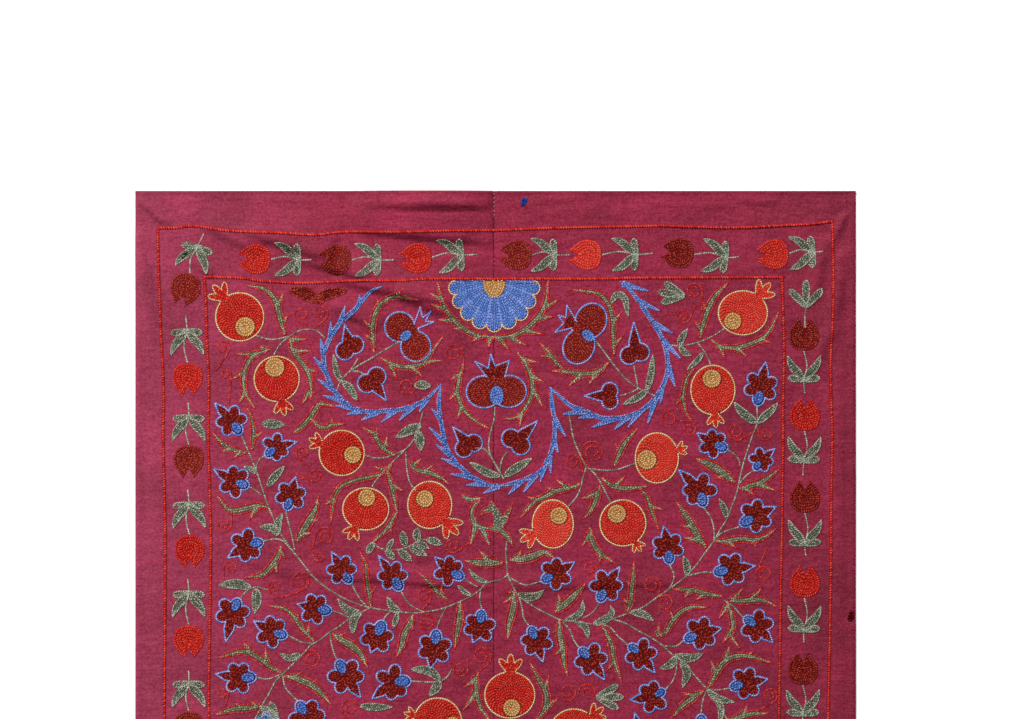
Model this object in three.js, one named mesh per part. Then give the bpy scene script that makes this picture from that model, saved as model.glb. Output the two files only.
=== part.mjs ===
// A suzani: an embroidered silk cloth of two loom-width panels sewn edge to edge down the middle,
// laid out face up. Millimetres, +Z up, +Y towards the top edge of the cloth.
// The origin is under the middle of the cloth, on the surface that it lies on.
import * as THREE from "three";

// Driving dimensions of the whole cloth.
const WIDTH = 864;
const LENGTH = 1484;
const CLOTH_THICK = 1.2;
const SEAM_X = -1.8;
const SEAM_GAP = 0.3;

// The silk: raspberry, with the soft shine of a plain weave.
const SILK = { color: 0x9c3a54, roughness: 0.55, metalness: 0 };

const LEFT = -WIDTH / 2;
const RIGHT = WIDTH / 2;
const TOP = LENGTH / 2;
const BOTTOM = -LENGTH / 2;
const LEFT_OF_SEAM = SEAM_X - SEAM_GAP / 2;
const RIGHT_OF_SEAM = SEAM_X + SEAM_GAP / 2;

// The turned hem: how far the upper face stands above flat cloth, at a distance in from an outer edge.
const HEM = [
  { inward: 0, rise: -0.5 },
  { inward: 1.5, rise: 0.8 },
  { inward: 7, rise: 0.8 },
  { inward: 9, rise: 0 },
];
const HEM_WIDTH = HEM[HEM.length - 1].inward;

// The joining seam: the upper face dips where the panels meet, and its turnings lift it a little.
const SEAM = [
  { inward: 0, rise: -0.5 },
  { inward: 3, rise: 0.3 },
  { inward: 10, rise: 0.3 },
  { inward: 14, rise: 0 },
];
const SEAM_WIDTH = SEAM[SEAM.length - 1].inward;

// The folds, as soft ridges between two points of the cloth. Each one dies away at both ends,
// reaches that far to each side of its crest, and rises by that much at its middle.
const FOLDS = [
  // Pulled across the top margin, ending at the seam.
  { x0: -160, y0: 731, x1: -5, y1: 726, reach: 9, rise: 5 },
  { x0: -181, y0: 698, x1: -6, y1: 684, reach: 9, rise: 4.5 },
  // Drag lines that slant down from the upper left into the field.
  { x0: -285, y0: 690, x1: -175, y1: 645, reach: 11, rise: 5 },
  { x0: -181, y0: 639, x1: -85, y1: 612, reach: 9, rise: 4 },
  { x0: -109, y0: 615, x1: -57, y1: 592, reach: 9, rise: 3.5 },
  { x0: -193, y0: 602, x1: -141, y1: 578, reach: 9, rise: 3 },
  { x0: -349, y0: 698, x1: -301, y1: 671, reach: 9, rise: 3 },
  { x0: -371, y0: 662, x1: -345, y1: 639, reach: 9, rise: 3 },
  // The mitred corners of the hem, and the slack beside the side hems.
  { x0: -428, y0: 731, x1: -394, y1: 700, reach: 6, rise: 2.4 },
  { x0: -427, y0: 698, x1: -409, y1: 544, reach: 11, rise: 3 },
  { x0: 421, y0: 717, x1: 406, y1: 683, reach: 7, rise: 2.4 },
  { x0: 397, y0: 686, x1: 377, y1: 605, reach: 12, rise: 2.8 },
  { x0: 416, y0: 671, x1: 405, y1: 563, reach: 11, rise: 2.6 },
  { x0: 397, y0: 575, x1: 385, y1: 525, reach: 10, rise: 2 },
  { x0: 287, y0: 731, x1: 341, y1: 728, reach: 7, rise: 1.6 },
  // Creases left by folding the cloth away, one above and one below the middle.
  { x0: -280, y0: 287, x1: -5, y1: 267, reach: 8, rise: 2.2 },
  { x0: 3, y0: 266, x1: 233, y1: 273, reach: 8, rise: 2 },
  { x0: -262, y0: -270, x1: -5, y1: -264, reach: 8, rise: 2 },
  { x0: 3, y0: -264, x1: 250, y1: -271, reach: 8, rise: 2 },
];

// Spacing of the mesh, from one line to the next, over the stretches of a panel.
const HEM_LINES = HEM.slice(1).map((step) => step.inward);
const SEAM_LINES = SEAM.slice(1).map((step) => step.inward);
const ROW_BANDS = {
  left: [
    { until: 574, pitch: 7.3 },
    { until: 290, pitch: 48 },
    { until: 262, pitch: 4.7 },
    { until: -256, pitch: 87 },
    { until: -277, pitch: 5.3 },
  ],
  right: [
    { until: 717, pitch: 5.3 },
    { until: 520, pitch: 18 },
    { until: 278, pitch: 60 },
    { until: 260, pitch: 4.5 },
    { until: -256, pitch: 87 },
    { until: -277, pitch: 5.3 },
  ],
};
const LAST_ROW_PITCH = 91;
const COLUMN_BANDS = {
  left: { edge: { until: -396, pitch: 7 }, field: 16 },
  right: { edge: { until: 366, pitch: 7 }, field: 36 },
};

// Straight-line reading of a { inward, rise } table.
function profileRise(table, inward) {
  for (let i = 1; i < table.length; i += 1) {
    const before = table[i - 1];
    const after = table[i];
    if (inward <= after.inward) {
      const share = (inward - before.inward) / (after.inward - before.inward);
      return THREE.MathUtils.lerp(before.rise, after.rise, share);
    }
  }
  return 0;
}

// Height that one fold lifts the cloth by at a point: a squared cosine across the crest,
// and the square root of a parabola along it.
function foldLift(fold, x, y) {
  const alongX = fold.x1 - fold.x0;
  const alongY = fold.y1 - fold.y0;
  const lengthSquared = alongX * alongX + alongY * alongY;
  const raw = ((x - fold.x0) * alongX + (y - fold.y0) * alongY) / lengthSquared;
  const share = THREE.MathUtils.clamp(raw, 0, 1);
  const away = Math.hypot(x - fold.x0 - share * alongX, y - fold.y0 - share * alongY);
  if (away >= fold.reach) return 0;
  const across = Math.cos((Math.PI * away) / (2 * fold.reach));
  return fold.rise * across * across * Math.sqrt(4 * share * (1 - share));
}

// Height of the underside above the surface that the cloth lies on.
function underside(x, y) {
  return FOLDS.reduce((sum, fold) => sum + foldLift(fold, x, y), 0);
}

// Thickness of the cloth at a point, with its turned edges and seam.
function thickness(x, y) {
  const fromEdge = Math.min(x - LEFT, RIGHT - x, y - BOTTOM, TOP - y);
  const fromSeam = Math.max(Math.abs(x - SEAM_X) - SEAM_GAP / 2, 0);
  return CLOTH_THICK + profileRise(HEM, fromEdge) + profileRise(SEAM, fromSeam);
}

// Lines of the mesh from start to end, evenly spaced within each band and about its pitch apart.
function meshLines(start, bands) {
  const lines = [start];
  for (const { until, pitch } of bands) {
    const from = lines[lines.length - 1];
    const count = Math.max(1, Math.round(Math.abs(until - from) / pitch));
    for (let i = 1; i <= count; i += 1) lines.push(from + ((until - from) * i) / count);
  }
  return lines;
}

// Rows of a panel from its bottom hem to its top hem.
function panelRows(side) {
  const hemTop = HEM_LINES.map((inward) => ({ until: TOP - inward, pitch: HEM_WIDTH }));
  const hemBottom = [...HEM_LINES].reverse().map((inward) => ({
    until: BOTTOM + inward,
    pitch: LAST_ROW_PITCH,
  }));
  const edge = { until: BOTTOM, pitch: HEM_WIDTH };
  return meshLines(TOP, [...hemTop, ...ROW_BANDS[side], ...hemBottom, edge]).reverse();
}

// Columns of a panel from its outer edge to the seam, put in order from left to right.
function panelColumns(side, outer, inner) {
  const inwards = Math.sign(inner - outer);
  const hem = HEM_LINES.map((inward) => ({ until: outer + inwards * inward, pitch: HEM_WIDTH }));
  const { edge, field } = COLUMN_BANDS[side];
  const seam = [...SEAM_LINES].reverse().map((inward, i) => ({
    until: inner - inwards * inward,
    pitch: i === 0 ? field : SEAM_WIDTH,
  }));
  const lines = meshLines(outer, [...hem, edge, ...seam, { until: inner, pitch: SEAM_WIDTH }]);
  return inwards > 0 ? lines : lines.reverse();
}

// One panel: a box of one layer whose grid is drawn out over the panel and laid on its folds.
function panelGeometry(side, outer, inner) {
  const columns = panelColumns(side, outer, inner);
  const rows = panelRows(side);
  const geometry = new THREE.BoxGeometry(1, 1, 1, columns.length - 1, rows.length - 1, 1);
  const position = geometry.getAttribute("position");
  for (let i = 0; i < position.count; i += 1) {
    const x = columns[Math.round((position.getX(i) + 0.5) * (columns.length - 1))];
    const y = rows[Math.round((position.getY(i) + 0.5) * (rows.length - 1))];
    const low = underside(x, y);
    const isUpper = position.getZ(i) > 0;
    position.setXYZ(i, x, y, isUpper ? low + thickness(x, y) : low);
  }
  geometry.computeVertexNormals();
  return geometry;
}

function panel(name, side, outer, inner) {
  const mesh = new THREE.Mesh(panelGeometry(side, outer, inner), new THREE.MeshStandardMaterial(SILK));
  mesh.name = name;
  return mesh;
}

const suzani = new THREE.Group();
suzani.add(panel("panel_left", "left", LEFT, LEFT_OF_SEAM));
suzani.add(panel("panel_right", "right", RIGHT, RIGHT_OF_SEAM));

export default suzani;
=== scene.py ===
# A suzani: two silk panels sewn edge to edge, worked all over in chain stitch and laid out face up.
import math

import bpy
import numpy as np
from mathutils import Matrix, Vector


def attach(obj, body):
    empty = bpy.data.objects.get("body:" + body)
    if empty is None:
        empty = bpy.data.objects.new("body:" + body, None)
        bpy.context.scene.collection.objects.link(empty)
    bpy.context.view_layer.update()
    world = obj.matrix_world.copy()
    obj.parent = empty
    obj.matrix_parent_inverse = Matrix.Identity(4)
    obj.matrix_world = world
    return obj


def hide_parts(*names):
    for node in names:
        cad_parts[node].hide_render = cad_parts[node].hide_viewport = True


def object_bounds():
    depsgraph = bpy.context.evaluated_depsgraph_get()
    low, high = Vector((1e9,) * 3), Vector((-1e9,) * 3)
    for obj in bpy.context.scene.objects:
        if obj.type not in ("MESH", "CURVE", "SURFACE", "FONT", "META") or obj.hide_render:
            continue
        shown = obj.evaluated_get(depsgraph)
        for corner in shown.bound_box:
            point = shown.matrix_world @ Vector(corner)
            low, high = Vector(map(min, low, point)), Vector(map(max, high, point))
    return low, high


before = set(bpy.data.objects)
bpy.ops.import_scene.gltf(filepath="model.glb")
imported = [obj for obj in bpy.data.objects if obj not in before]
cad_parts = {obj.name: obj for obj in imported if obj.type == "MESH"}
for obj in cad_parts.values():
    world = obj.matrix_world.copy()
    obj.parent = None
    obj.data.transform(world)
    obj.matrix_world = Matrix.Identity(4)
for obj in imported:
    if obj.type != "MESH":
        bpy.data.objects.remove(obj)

cad_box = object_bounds()
rng = np.random.default_rng(1884)

# Sizes are in millimetres, with the origin under the middle of the cloth and +Y towards its top edge
MM = 0.001
TAU = 2 * math.pi
LEFT, BOTTOM = (round(side / MM, 3) for side in cad_box[0][:2])
RIGHT, TOP = (round(side / MM, 3) for side in cad_box[1][:2])
CLOTH_THICK = 1.2
SEAM_X = -1.8
SEAM_GAP = 0.3

# Places in the photograph's 1024 x 719 frame, in pixels, x to the right and y down
PIXEL = 1.2
MIDDLE_PX = 495.5
MIDDLE_PY = 809.3


def on_cloth(pixels):
    """Pixels of the photograph as places on the cloth: measured from the cloth's middle, y turned upwards."""
    return (np.asarray(pixels, float) - (MIDDLE_PX, MIDDLE_PY)) * (PIXEL, -PIXEL)


def table(columns, rows):
    """One dictionary for each line of rows, its numbers in the order of the named columns."""
    names = columns.split()
    return [dict(zip(names, map(float, row.split()))) for row in rows.strip().splitlines()]


def places(text):
    """Pixel places written as x,y x,y x,y, as places on the cloth."""
    pairs = [[float(number) for number in pair.split(",")] for pair in text.split()]
    return on_cloth(pairs) if pairs else np.zeros((0, 2))


def paths_of(text):
    """The places of each line of a text."""
    return [places(line) for line in text.strip().splitlines()]


def rows_of(text):
    """Rows of half width, spine and thorns, parted by bars."""
    for line in text.strip().splitlines():
        half_width, spine, *thorns = line.split("|")
        yield float(half_width), places(spine), places(thorns[0] if thorns else "")


def spot(row, name=""):
    """A table row's place on the cloth, from its two pixel columns of that name."""
    return on_cloth((row[name + "px"], row[name + "py"]))


# The cloth's edges and seam: rise of the upper face over plain cloth, at a distance in from the edge
END_HEM = table("inward rise", """
    0     0.4
    0.8   0.7
    1.9   0.7
    3.4   0
""")
SIDE_HEM = table("inward rise", """
    0     0
    1.5   0.6
    6     0.6
    9     0
""")
SEAM = table("inward rise", """
    0     0.1
    1.6   0.3
    10    0.3
    14    0
""")

# The main folds, on the crests of the solids' folds: ridges from one place to another, with their reach to
# the left and to the right of the way they run, their rise, and the share of the way where they are highest
FOLDS = table("x0 y0 x1 y1 left right rise peak", """
    -162 728   -3 727   55 12   8.8  0.58
    -178 698   -3 683   60 10   6.6  0.55
    -305 697 -196 661   70 10   8.0  0.60
    -238 662 -150 638   30  9   6.5  0.50
    -190 636  -48 607   50  9   6.4  0.45
    -122 622  -48 590   30  9   6.2  0.5
    -196 606 -138 576   26  9   5.4  0.5
    -352 702 -280 668   34  9   4.6  0.5
    -371 664 -340 640   16  8   4.0  0.5
    -430 733 -391 698   14  6   6.4  0.5
    -427 698 -409 544   11 16   3.6  0.5
     421 717  406 683    7  9   3.8  0.5
     397 686  377 605   12 16   3.8  0.5
     416 671  405 563   11 14   3.8  0.5
     397 575  385 525   10 14   2.8  0.5
     287 731  341 728   14  6   1.8  0.5
    -280 287   -5 267   22  7   3.0  0.6
       3 266  233 273   22  7   2.6  0.4
    -262 -270  -5 -264  22  7   2.2  0.6
       3 -264 250 -271  22  7   2.2  0.4
""")

# Finer creases of the same kind
CREASES = table("x0 y0 x1 y1 left right rise peak", """
    -175 722   -3 720   60 38 3.2 0.5
    -330 735 -210 729    9  5 0.7 0.5
    -164 284 -132 280   12  3 1.8 0.5
    -104 285  -70 276   12  3 2.4 0.6
     -98 276  -64 266   10  3 2.2 0.6
     -62 293  -32 286   10  3 1.6 0.5
     -30 272   -6 262    9  3 1.8 0.6
      38 277   66 270   10  3 1.6 0.4
     140 285  172 278   10  3 1.4 0.5
    -300 330 -276 318   10  4 1.0 0.5
      60 316   84 308   10  4 1.0 0.5
    -130 714  -20 708   14  6 0.9 0.5
       8 726  120 733   10  5 0.8 0.5
      60 716  190 712   16  7 0.6 0.5
     180 727  290 722   14  6 0.8 0.5
     270 688  330 668   14  8 0.9 0.5
     -60 657   -8 660   14  6 1.0 0.5
     100 668  190 650   20  9 0.6 0.5
    -400 600 -392 450   12 14 0.9 0.5
     411 560  413 100   14 18 2.4 0.5
     412 120  409 -300  14 18 2.2 0.5
     388 480  384 330   10 12 0.8 0.5
    -412 520 -408 180   13 15 0.6 0.5
    -409 200 -411 -200  13 15 0.5 0.5
    -150 470  -60 440   24 10 0.9 0.5
    -100 372  -20 340   20  8 1.1 0.5
    -330 306 -250 285   16  7 1.0 0.5
     -60 262   -4 250   12  5 1.0 0.5
       4 262   60 254   12  5 0.9 0.5
""")

# Slack of the whole cloth: low waves, each with its lengths across and along, its shift and its height
WAVES = table("across along shift height", """
     97   241  0.4  0.16
    -61   173  2.1  0.12
    143   -89  4.0  0.16
     37   410  1.3  0.06
     29   -53  5.2  0.05
""")


def profile_rise(profile, inward):
    """Straight-line reading of a rise against the distance in from an edge."""
    return np.interp(inward, [row["inward"] for row in profile], [row["rise"] for row in profile])


def ridge(fold, x, y):
    """Height of one ridge: a squared cosine across its crest, wider on one side than on the other, and along
    it the root of the sine of a half turn, drawn towards its highest place."""
    east, north = fold["x1"] - fold["x0"], fold["y1"] - fold["y0"]
    over, up = x - fold["x0"], y - fold["y0"]
    share = np.clip((over * east + up * north) / (east**2 + north**2), 0, 1)
    away = np.hypot(over - share * east, up - share * north)
    reach = np.where(east * up > north * over, fold["left"], fold["right"])
    across = np.cos(np.clip(away / reach, 0, 1) * math.pi / 2) ** 2
    along = np.sin(math.pi * share ** (math.log(0.5) / math.log(fold["peak"]))) ** 0.5
    return fold["rise"] * across * along


def underside(x, y):
    """Height of the cloth's back: the sum of the folds, the creases and the low waves."""
    height = sum(ridge(fold, x, y) for fold in FOLDS + CREASES)
    for wave in WAVES:
        turn = TAU * (x / wave["across"] + y / wave["along"]) + wave["shift"]
        height = height + wave["height"] * (0.5 + 0.5 * np.sin(turn))
    return height


def upper_face(x, y, bridge=0.0):
    """Height of the cloth's face: its back and its thickness, with the hem and the seam. A bridge spans the
    seam's dip from that distance on each side."""
    end_hem = profile_rise(END_HEM, np.minimum(y - BOTTOM, TOP - y))
    side_hem = profile_rise(SIDE_HEM, np.minimum(x - LEFT, RIGHT - x))
    from_seam = np.maximum(np.abs(x - SEAM_X) - SEAM_GAP / 2, bridge)
    return underside(x, y) + CLOTH_THICK + np.maximum(end_hem, side_hem) + profile_rise(SEAM, from_seam)


# Colours as the photograph shows them, from 0 to 255, and the light that falls on the cloth there
CLOTH_LIGHT = 1.4


def dyed(red, green, blue):
    """A photographed colour as a dye: its linear light, divided by the light that falls on the cloth."""
    seen = np.array([red, green, blue]) / 255
    linear = np.where(seen <= 0.04045, seen / 12.92, ((seen + 0.055) / 1.055) ** 2.4)
    return (*(linear / CLOTH_LIGHT), 1.0)


# Each thread's dark, middle and light dye
THREADS = {
    "thread_red": (dyed(140, 8, 8), dyed(240, 54, 46), dyed(255, 104, 84)),
    "thread_maroon": (dyed(66, 4, 4), dyed(164, 44, 38), dyed(214, 92, 78)),
    "thread_coral": (dyed(160, 20, 22), dyed(222, 58, 54), dyed(246, 112, 98)),
    "thread_gold": (dyed(150, 92, 42), dyed(248, 184, 112), dyed(255, 232, 178)),
    "thread_blue": (dyed(26, 56, 140), dyed(100, 147, 230), dyed(186, 186, 250)),
    "thread_sage": (dyed(44, 51, 38), dyed(144, 147, 126), dyed(212, 213, 194)),
    "thread_olive": (dyed(54, 50, 32), dyed(154, 148, 120), dyed(218, 210, 180)),
    "sewing_thread": (dyed(110, 30, 48), dyed(150, 52, 76), dyed(235, 215, 215)),
}


def new_material(name, roughness, specular):
    """A shader with plain constants on its own sockets."""
    material = bpy.data.materials.new(name)
    material.use_nodes = True
    shader = material.node_tree.nodes["Principled BSDF"]
    shader.inputs["Roughness"].default_value = roughness
    shader.inputs["Specular IOR Level"].default_value = specular
    return material, material.node_tree, shader


def grey(level):
    """A grey of an even level."""
    return (level, level, level, 1)


def ramp_node(tree, source, *stops):
    """A colour ramp over a value, with its stops evenly spaced."""
    node = tree.nodes.new("ShaderNodeValToRGB")
    while len(node.color_ramp.elements) < len(stops):
        node.color_ramp.elements.new(0.5)
    for index, stop in enumerate(stops):
        node.color_ramp.elements[index].position = index / (len(stops) - 1)
        node.color_ramp.elements[index].color = stop
    tree.links.new(source, node.inputs["Fac"])
    return node.outputs["Color"]


def noise_node(tree, scale, detail=2.0, stretch=(1, 1, 1)):
    """Noise over the piece's own place on the cloth, drawn out along an axis by stretch."""
    where = tree.nodes.new("ShaderNodeTexCoord")
    mapping = tree.nodes.new("ShaderNodeMapping")
    mapping.inputs["Scale"].default_value = stretch
    noise = tree.nodes.new("ShaderNodeTexNoise")
    noise.inputs["Scale"].default_value = scale
    noise.inputs["Detail"].default_value = detail
    tree.links.new(where.outputs["Object"], mapping.inputs["Vector"])
    tree.links.new(mapping.outputs["Vector"], noise.inputs["Vector"])
    return noise.outputs["Fac"]


# A mix node's sockets for colours
MIX_SHARE = 0
MIX_FIRST = 6
MIX_SECOND = 7
MIX_RESULT = 2


def blend_node(tree, kind, share, first, second):
    """Two colours blended by a constant share."""
    node = tree.nodes.new("ShaderNodeMix")
    node.data_type = "RGBA"
    node.blend_type = kind
    node.inputs[MIX_SHARE].default_value = share
    tree.links.new(first, node.inputs[MIX_FIRST])
    tree.links.new(second, node.inputs[MIX_SECOND])
    return node.outputs[MIX_RESULT]


def bump_node(tree, shader, height, strength, distance):
    """Fine relief from a height value."""
    node = tree.nodes.new("ShaderNodeBump")
    node.inputs["Strength"].default_value = strength
    node.inputs["Distance"].default_value = distance
    tree.links.new(height, node.inputs["Height"])
    tree.links.new(node.outputs["Normal"], shader.inputs["Normal"])


def attribute_node(tree, name):
    """A value that each point of the piece carries."""
    node = tree.nodes.new("ShaderNodeAttribute")
    node.attribute_name = name
    return node.outputs["Fac"]


def across_node(tree):
    """The share of the cloth's width at a place, from none at its left edge to one at its right edge."""
    where = tree.nodes.new("ShaderNodeTexCoord")
    parts = tree.nodes.new("ShaderNodeSeparateXYZ")
    share = tree.nodes.new("ShaderNodeMapRange")
    share.inputs["From Min"].default_value = LEFT * MM
    share.inputs["From Max"].default_value = RIGHT * MM
    tree.links.new(where.outputs["Object"], parts.inputs["Vector"])
    tree.links.new(parts.outputs["X"], share.inputs["Value"])
    return share.outputs["Result"]


# The silk's dye, evenly spaced from its left edge to its right one: its own raspberry in the middle, paler at
# the left edge with painted sheen and darker at the right edge with painted shade
SILK_DYE_WITH_PAINTED_SHEEN_AND_SHADE = [dyed(144, 42, 72), dyed(140, 26, 58), dyed(137, 23, 55), dyed(139, 23, 56), dyed(130, 23, 52)]

# The shares by which the silk's patterns darken and lighten its dye
WEFT_SHARE = 0.36
WARP_SHARE = 0.2
GRAIN_SHARE = 0.6
CLOUD_SHARE = 0.8

# Painted sheen: the greys added to the silk's dye along its slubs and over its grain
SLUB_PAINTED_SHEEN = 0.005
GRAIN_PAINTED_SHEEN = 0.013


def silk_material():
    """Raspberry silk, paler towards its left edge with painted sheen and darker towards its right one with
    painted
    shade: slubs drawn out along the weft, finer warp streaks, a grain, and clouds in the dye, and painted
    sheen added along the slubs and over the grain."""
    material, tree, shader = new_material("silk", roughness=0.6, specular=0.06)
    weft = noise_node(tree, scale=40.0, detail=3.0, stretch=(1.0, 16.0, 1.0))
    warp = noise_node(tree, scale=34.0, stretch=(20.0, 0.8, 1.0))
    grain = noise_node(tree, scale=420.0)
    clouds = noise_node(tree, scale=14.0, detail=3.0)
    # Painted light across the width: sheen at the left edge, shade at the right edge
    dye = ramp_node(tree, across_node(tree), *SILK_DYE_WITH_PAINTED_SHEEN_AND_SHADE)
    shares = ((weft, WEFT_SHARE), (warp, WARP_SHARE), (grain, GRAIN_SHARE), (clouds, CLOUD_SHARE))
    for pattern, share in shares:
        dye = blend_node(tree, "SOFT_LIGHT", share, dye, ramp_node(tree, pattern, grey(0.1), grey(0.9)))
    # Painted sheen, added as grey to the dye
    for pattern, level in ((weft, SLUB_PAINTED_SHEEN), (grain, GRAIN_PAINTED_SHEEN)):
        painted_sheen = ramp_node(tree, pattern, grey(0), grey(0), grey(level), grey(level))
        dye = blend_node(tree, "ADD", 1.0, dye, painted_sheen)
    tree.links.new(dye, shader.inputs["Base Color"])
    pucker = noise_node(tree, scale=62.0, stretch=(0.6, 1.0, 1.0))
    relief = blend_node(tree, "MIX", 0.95, weft, pucker)
    bump_node(tree, shader, relief, strength=0.8, distance=0.003)
    return material


def thread_material(name):
    """Silk thread: each stitch has its own tone, darkened by painted shade where it dips into the cloth and
    at its full dye along its ridge."""
    material, tree, shader = new_material(name, roughness=0.5, specular=0.03)
    dye = ramp_node(tree, attribute_node(tree, "tone"), *THREADS[name])
    # Painted shade: the lower a point of the thread lies, the darker it is
    shade = ramp_node(tree, attribute_node(tree, "rise"), grey(0.36), grey(0.82), grey(1))
    tree.links.new(blend_node(tree, "MULTIPLY", 1.0, dye, shade), shader.inputs["Base Color"])
    bump_node(tree, shader, noise_node(tree, scale=900.0), strength=0.2, distance=0.0002)
    return material


def new_piece(name, points, faces, material):
    """A mesh piece from its points in millimetres and its faces, all of one number of corners."""
    mesh = bpy.data.meshes.new(name)
    mesh.vertices.add(len(points))
    mesh.vertices.foreach_set("co", (points * MM).astype(np.float32).ravel())
    mesh.loops.add(faces.size)
    mesh.loops.foreach_set("vertex_index", faces.astype(np.int32).ravel())
    mesh.polygons.add(len(faces))
    mesh.polygons.foreach_set("loop_start", np.arange(0, faces.size, faces.shape[1], dtype=np.int32))
    mesh.polygons.foreach_set("use_smooth", np.ones(len(faces), bool))
    mesh.update(calc_edges=True)
    mesh.materials.append(material)
    piece = bpy.data.objects.new(name, mesh)
    bpy.context.scene.collection.objects.link(piece)
    return piece


def halves(quads):
    """Two triangles for each four-cornered face."""
    return np.concatenate([quads[..., (0, 1, 2)].reshape(-1, 3), quads[..., (0, 2, 3)].reshape(-1, 3)])


# The silk panels: the pitch of their columns, and of their rows in each band from the top down
COLUMN_PITCH = 5.4
ROW_BANDS = table("until pitch", """
    560   2.8
    300   10
    250   2.4
    -250  10
    -300  4
    -736  12
""")


def lines_between(start, bands):
    """Lines from start through bands that end at until, evenly spaced in each and about its pitch apart."""
    lines = [np.array([start])]
    for band in bands:
        gap = band["until"] - lines[-1][-1]
        count = max(1, round(abs(gap) / band["pitch"]))
        lines.append(lines[-1][-1] + gap * np.arange(1, count + 1) / count)
    return np.concatenate(lines)


# The grid of each panel, left then right, and the heights that its stitches lie on: they span the seam's dip
SEAM_BRIDGE = 3.0
FACES = []


def on_face(x, y):
    """Height that stitches lie on: read on the flat triangle of the panel's grid that a place lies in."""
    height = np.zeros(np.broadcast(x, y).shape)
    for (columns, rows, face), here in zip(FACES, (x < SEAM_X, x >= SEAM_X)):
        column = np.clip(np.searchsorted(columns, x) - 1, 0, len(columns) - 2)
        row = np.clip(np.searchsorted(rows, y) - 1, 0, len(rows) - 2)
        right = np.clip((x - columns[column]) / (columns[column + 1] - columns[column]), 0, 1)
        up = np.clip((y - rows[row]) / (rows[row + 1] - rows[row]), 0, 1)
        low, high = face[row, column], face[row + 1, column + 1]
        below = low + right * (face[row, column + 1] - low) + up * (high - face[row, column + 1])
        above = low + up * (face[row + 1, column] - low) + right * (high - face[row + 1, column])
        height = np.where(here, np.where(right >= up, below, above), height)
    return height


def silk_panel(name, node, outer, inner, material):
    """A closed sheet on a grid of columns and rows: its face and back are heights over the grid, and four
    rims join them. The grid is finer at the hem, at the seam and over the folds."""
    inwards = math.copysign(1, inner - outer)
    side, end, seam = ([row["inward"] for row in profile[1:]] for profile in (SIDE_HEM, END_HEM, SEAM))
    across = [outer + inwards * step for step in side] + [inner - inwards * step for step in seam[::-1] + [0]]
    across = [{"until": line, "pitch": COLUMN_PITCH} for line in across]
    down = [{"until": TOP - step, "pitch": COLUMN_PITCH} for step in end] + ROW_BANDS
    down += [{"until": BOTTOM + step, "pitch": COLUMN_PITCH} for step in end[::-1] + [0]]
    columns = np.sort(lines_between(outer, across))
    rows = np.sort(lines_between(TOP, down))
    x, y = np.meshgrid(columns, rows)
    FACES.append((columns, rows, upper_face(x, y, SEAM_BRIDGE)))
    face = np.stack([x, y, upper_face(x, y)], axis=-1).reshape(-1, 3)
    back = np.stack([x, y, underside(x, y)], axis=-1).reshape(-1, 3)
    index = np.arange(x.size).reshape(x.shape)
    quads = np.stack([index[:-1, :-1], index[:-1, 1:], index[1:, 1:], index[1:, :-1]], axis=-1)
    quads = quads.reshape(-1, 4)
    rim = np.concatenate([index[0, :-1], index[:-1, -1], index[-1, :0:-1], index[:0:-1, 0]])
    after = np.roll(rim, -1)
    walls = np.stack([rim + x.size, after + x.size, after, rim], axis=-1)
    faces = halves(np.concatenate([quads, quads[:, (0, 3, 2, 1)] + x.size, walls]))
    piece = new_piece(name, np.concatenate([face, back]), faces, material)
    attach(piece, "root")
    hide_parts(node)
    return piece


# The stitches: each is a closed grain of thread, pointed where it leaves the cloth and where it goes back in
LOOP = table("along across rise", """
    -0.50  0.00 0.15
     0.00 -0.50 0.00
     0.00  0.50 0.00
     0.10  0.00 1.00
     0.50  0.00 0.15
""")
LOOP_FACES = np.array([(0, 1, 3), (0, 3, 2), (1, 4, 3), (3, 4, 2), (0, 2, 1), (1, 2, 4)])
SUNK = 0.15
STITCHES = {thread: [] for thread in THREADS}

# Tones run from 0 for dark to 1 for light: the middle one, the shift for a whole shade, and random spreads
MIDDLE_TONE = 0.56
SHADE_SHIFT = 0.5
TONE_SPREAD = 0.34
LINE_SPREAD = 0.3
FILL_SPREAD = 0.2

# Padding: the close thread under and between the stitches that fill a shape, as low closed mounds, dyed dark
# as painted shade between the stitches
PAD_RISE = 0.3
PAD_STEP = 5.0
PAD_STEP_ON_FOLDS = 2.4
PAD_RIM = 1.6
PAD_INSET = 0.3
PAD_FLAT = 0.6
PAD_CORNERS = (30, 80)
PADS = {thread: [] for thread in THREADS}

# The padding's rise and tone as its shader reads them, both set low as painted shade between the stitches
PAD_PAINTED_SHADE_RISE = 0.5
PAD_PAINTED_SHADE_TONE = 0.12

# How far the silk under a shape has to leave a plane to count as folded
FOLDED = 0.7


def towards(bearing):
    """One step on a bearing, or on each of many: its cosine to the right and its sine up the cloth."""
    return np.stack([np.cos(bearing), np.sin(bearing)], axis=-1)


def left_of(bearing):
    """One step to the left of a bearing, or of each of many."""
    return np.stack([-np.sin(bearing), np.cos(bearing)], axis=-1)


def bearing_of(step):
    """The bearing that a step runs on."""
    return math.atan2(step[1], step[0])


def sew(thread, place, heading, length, width, height, lift, shade, spread=TONE_SPREAD):
    """Stitches at places, with their headings and sizes. Their tone is the middle one, shifted by shade from
    dark to light, with an even random spread to each side."""
    count = len(place)
    tone = MIDDLE_TONE + SHADE_SHIFT * shade + rng.uniform(-spread, spread, count)
    parts = [place[:, 0], place[:, 1], heading, length, width, height, lift, np.clip(tone, 0, 1)]
    STITCHES[thread].append(np.column_stack([np.broadcast_to(part, count) for part in parts]))


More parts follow.
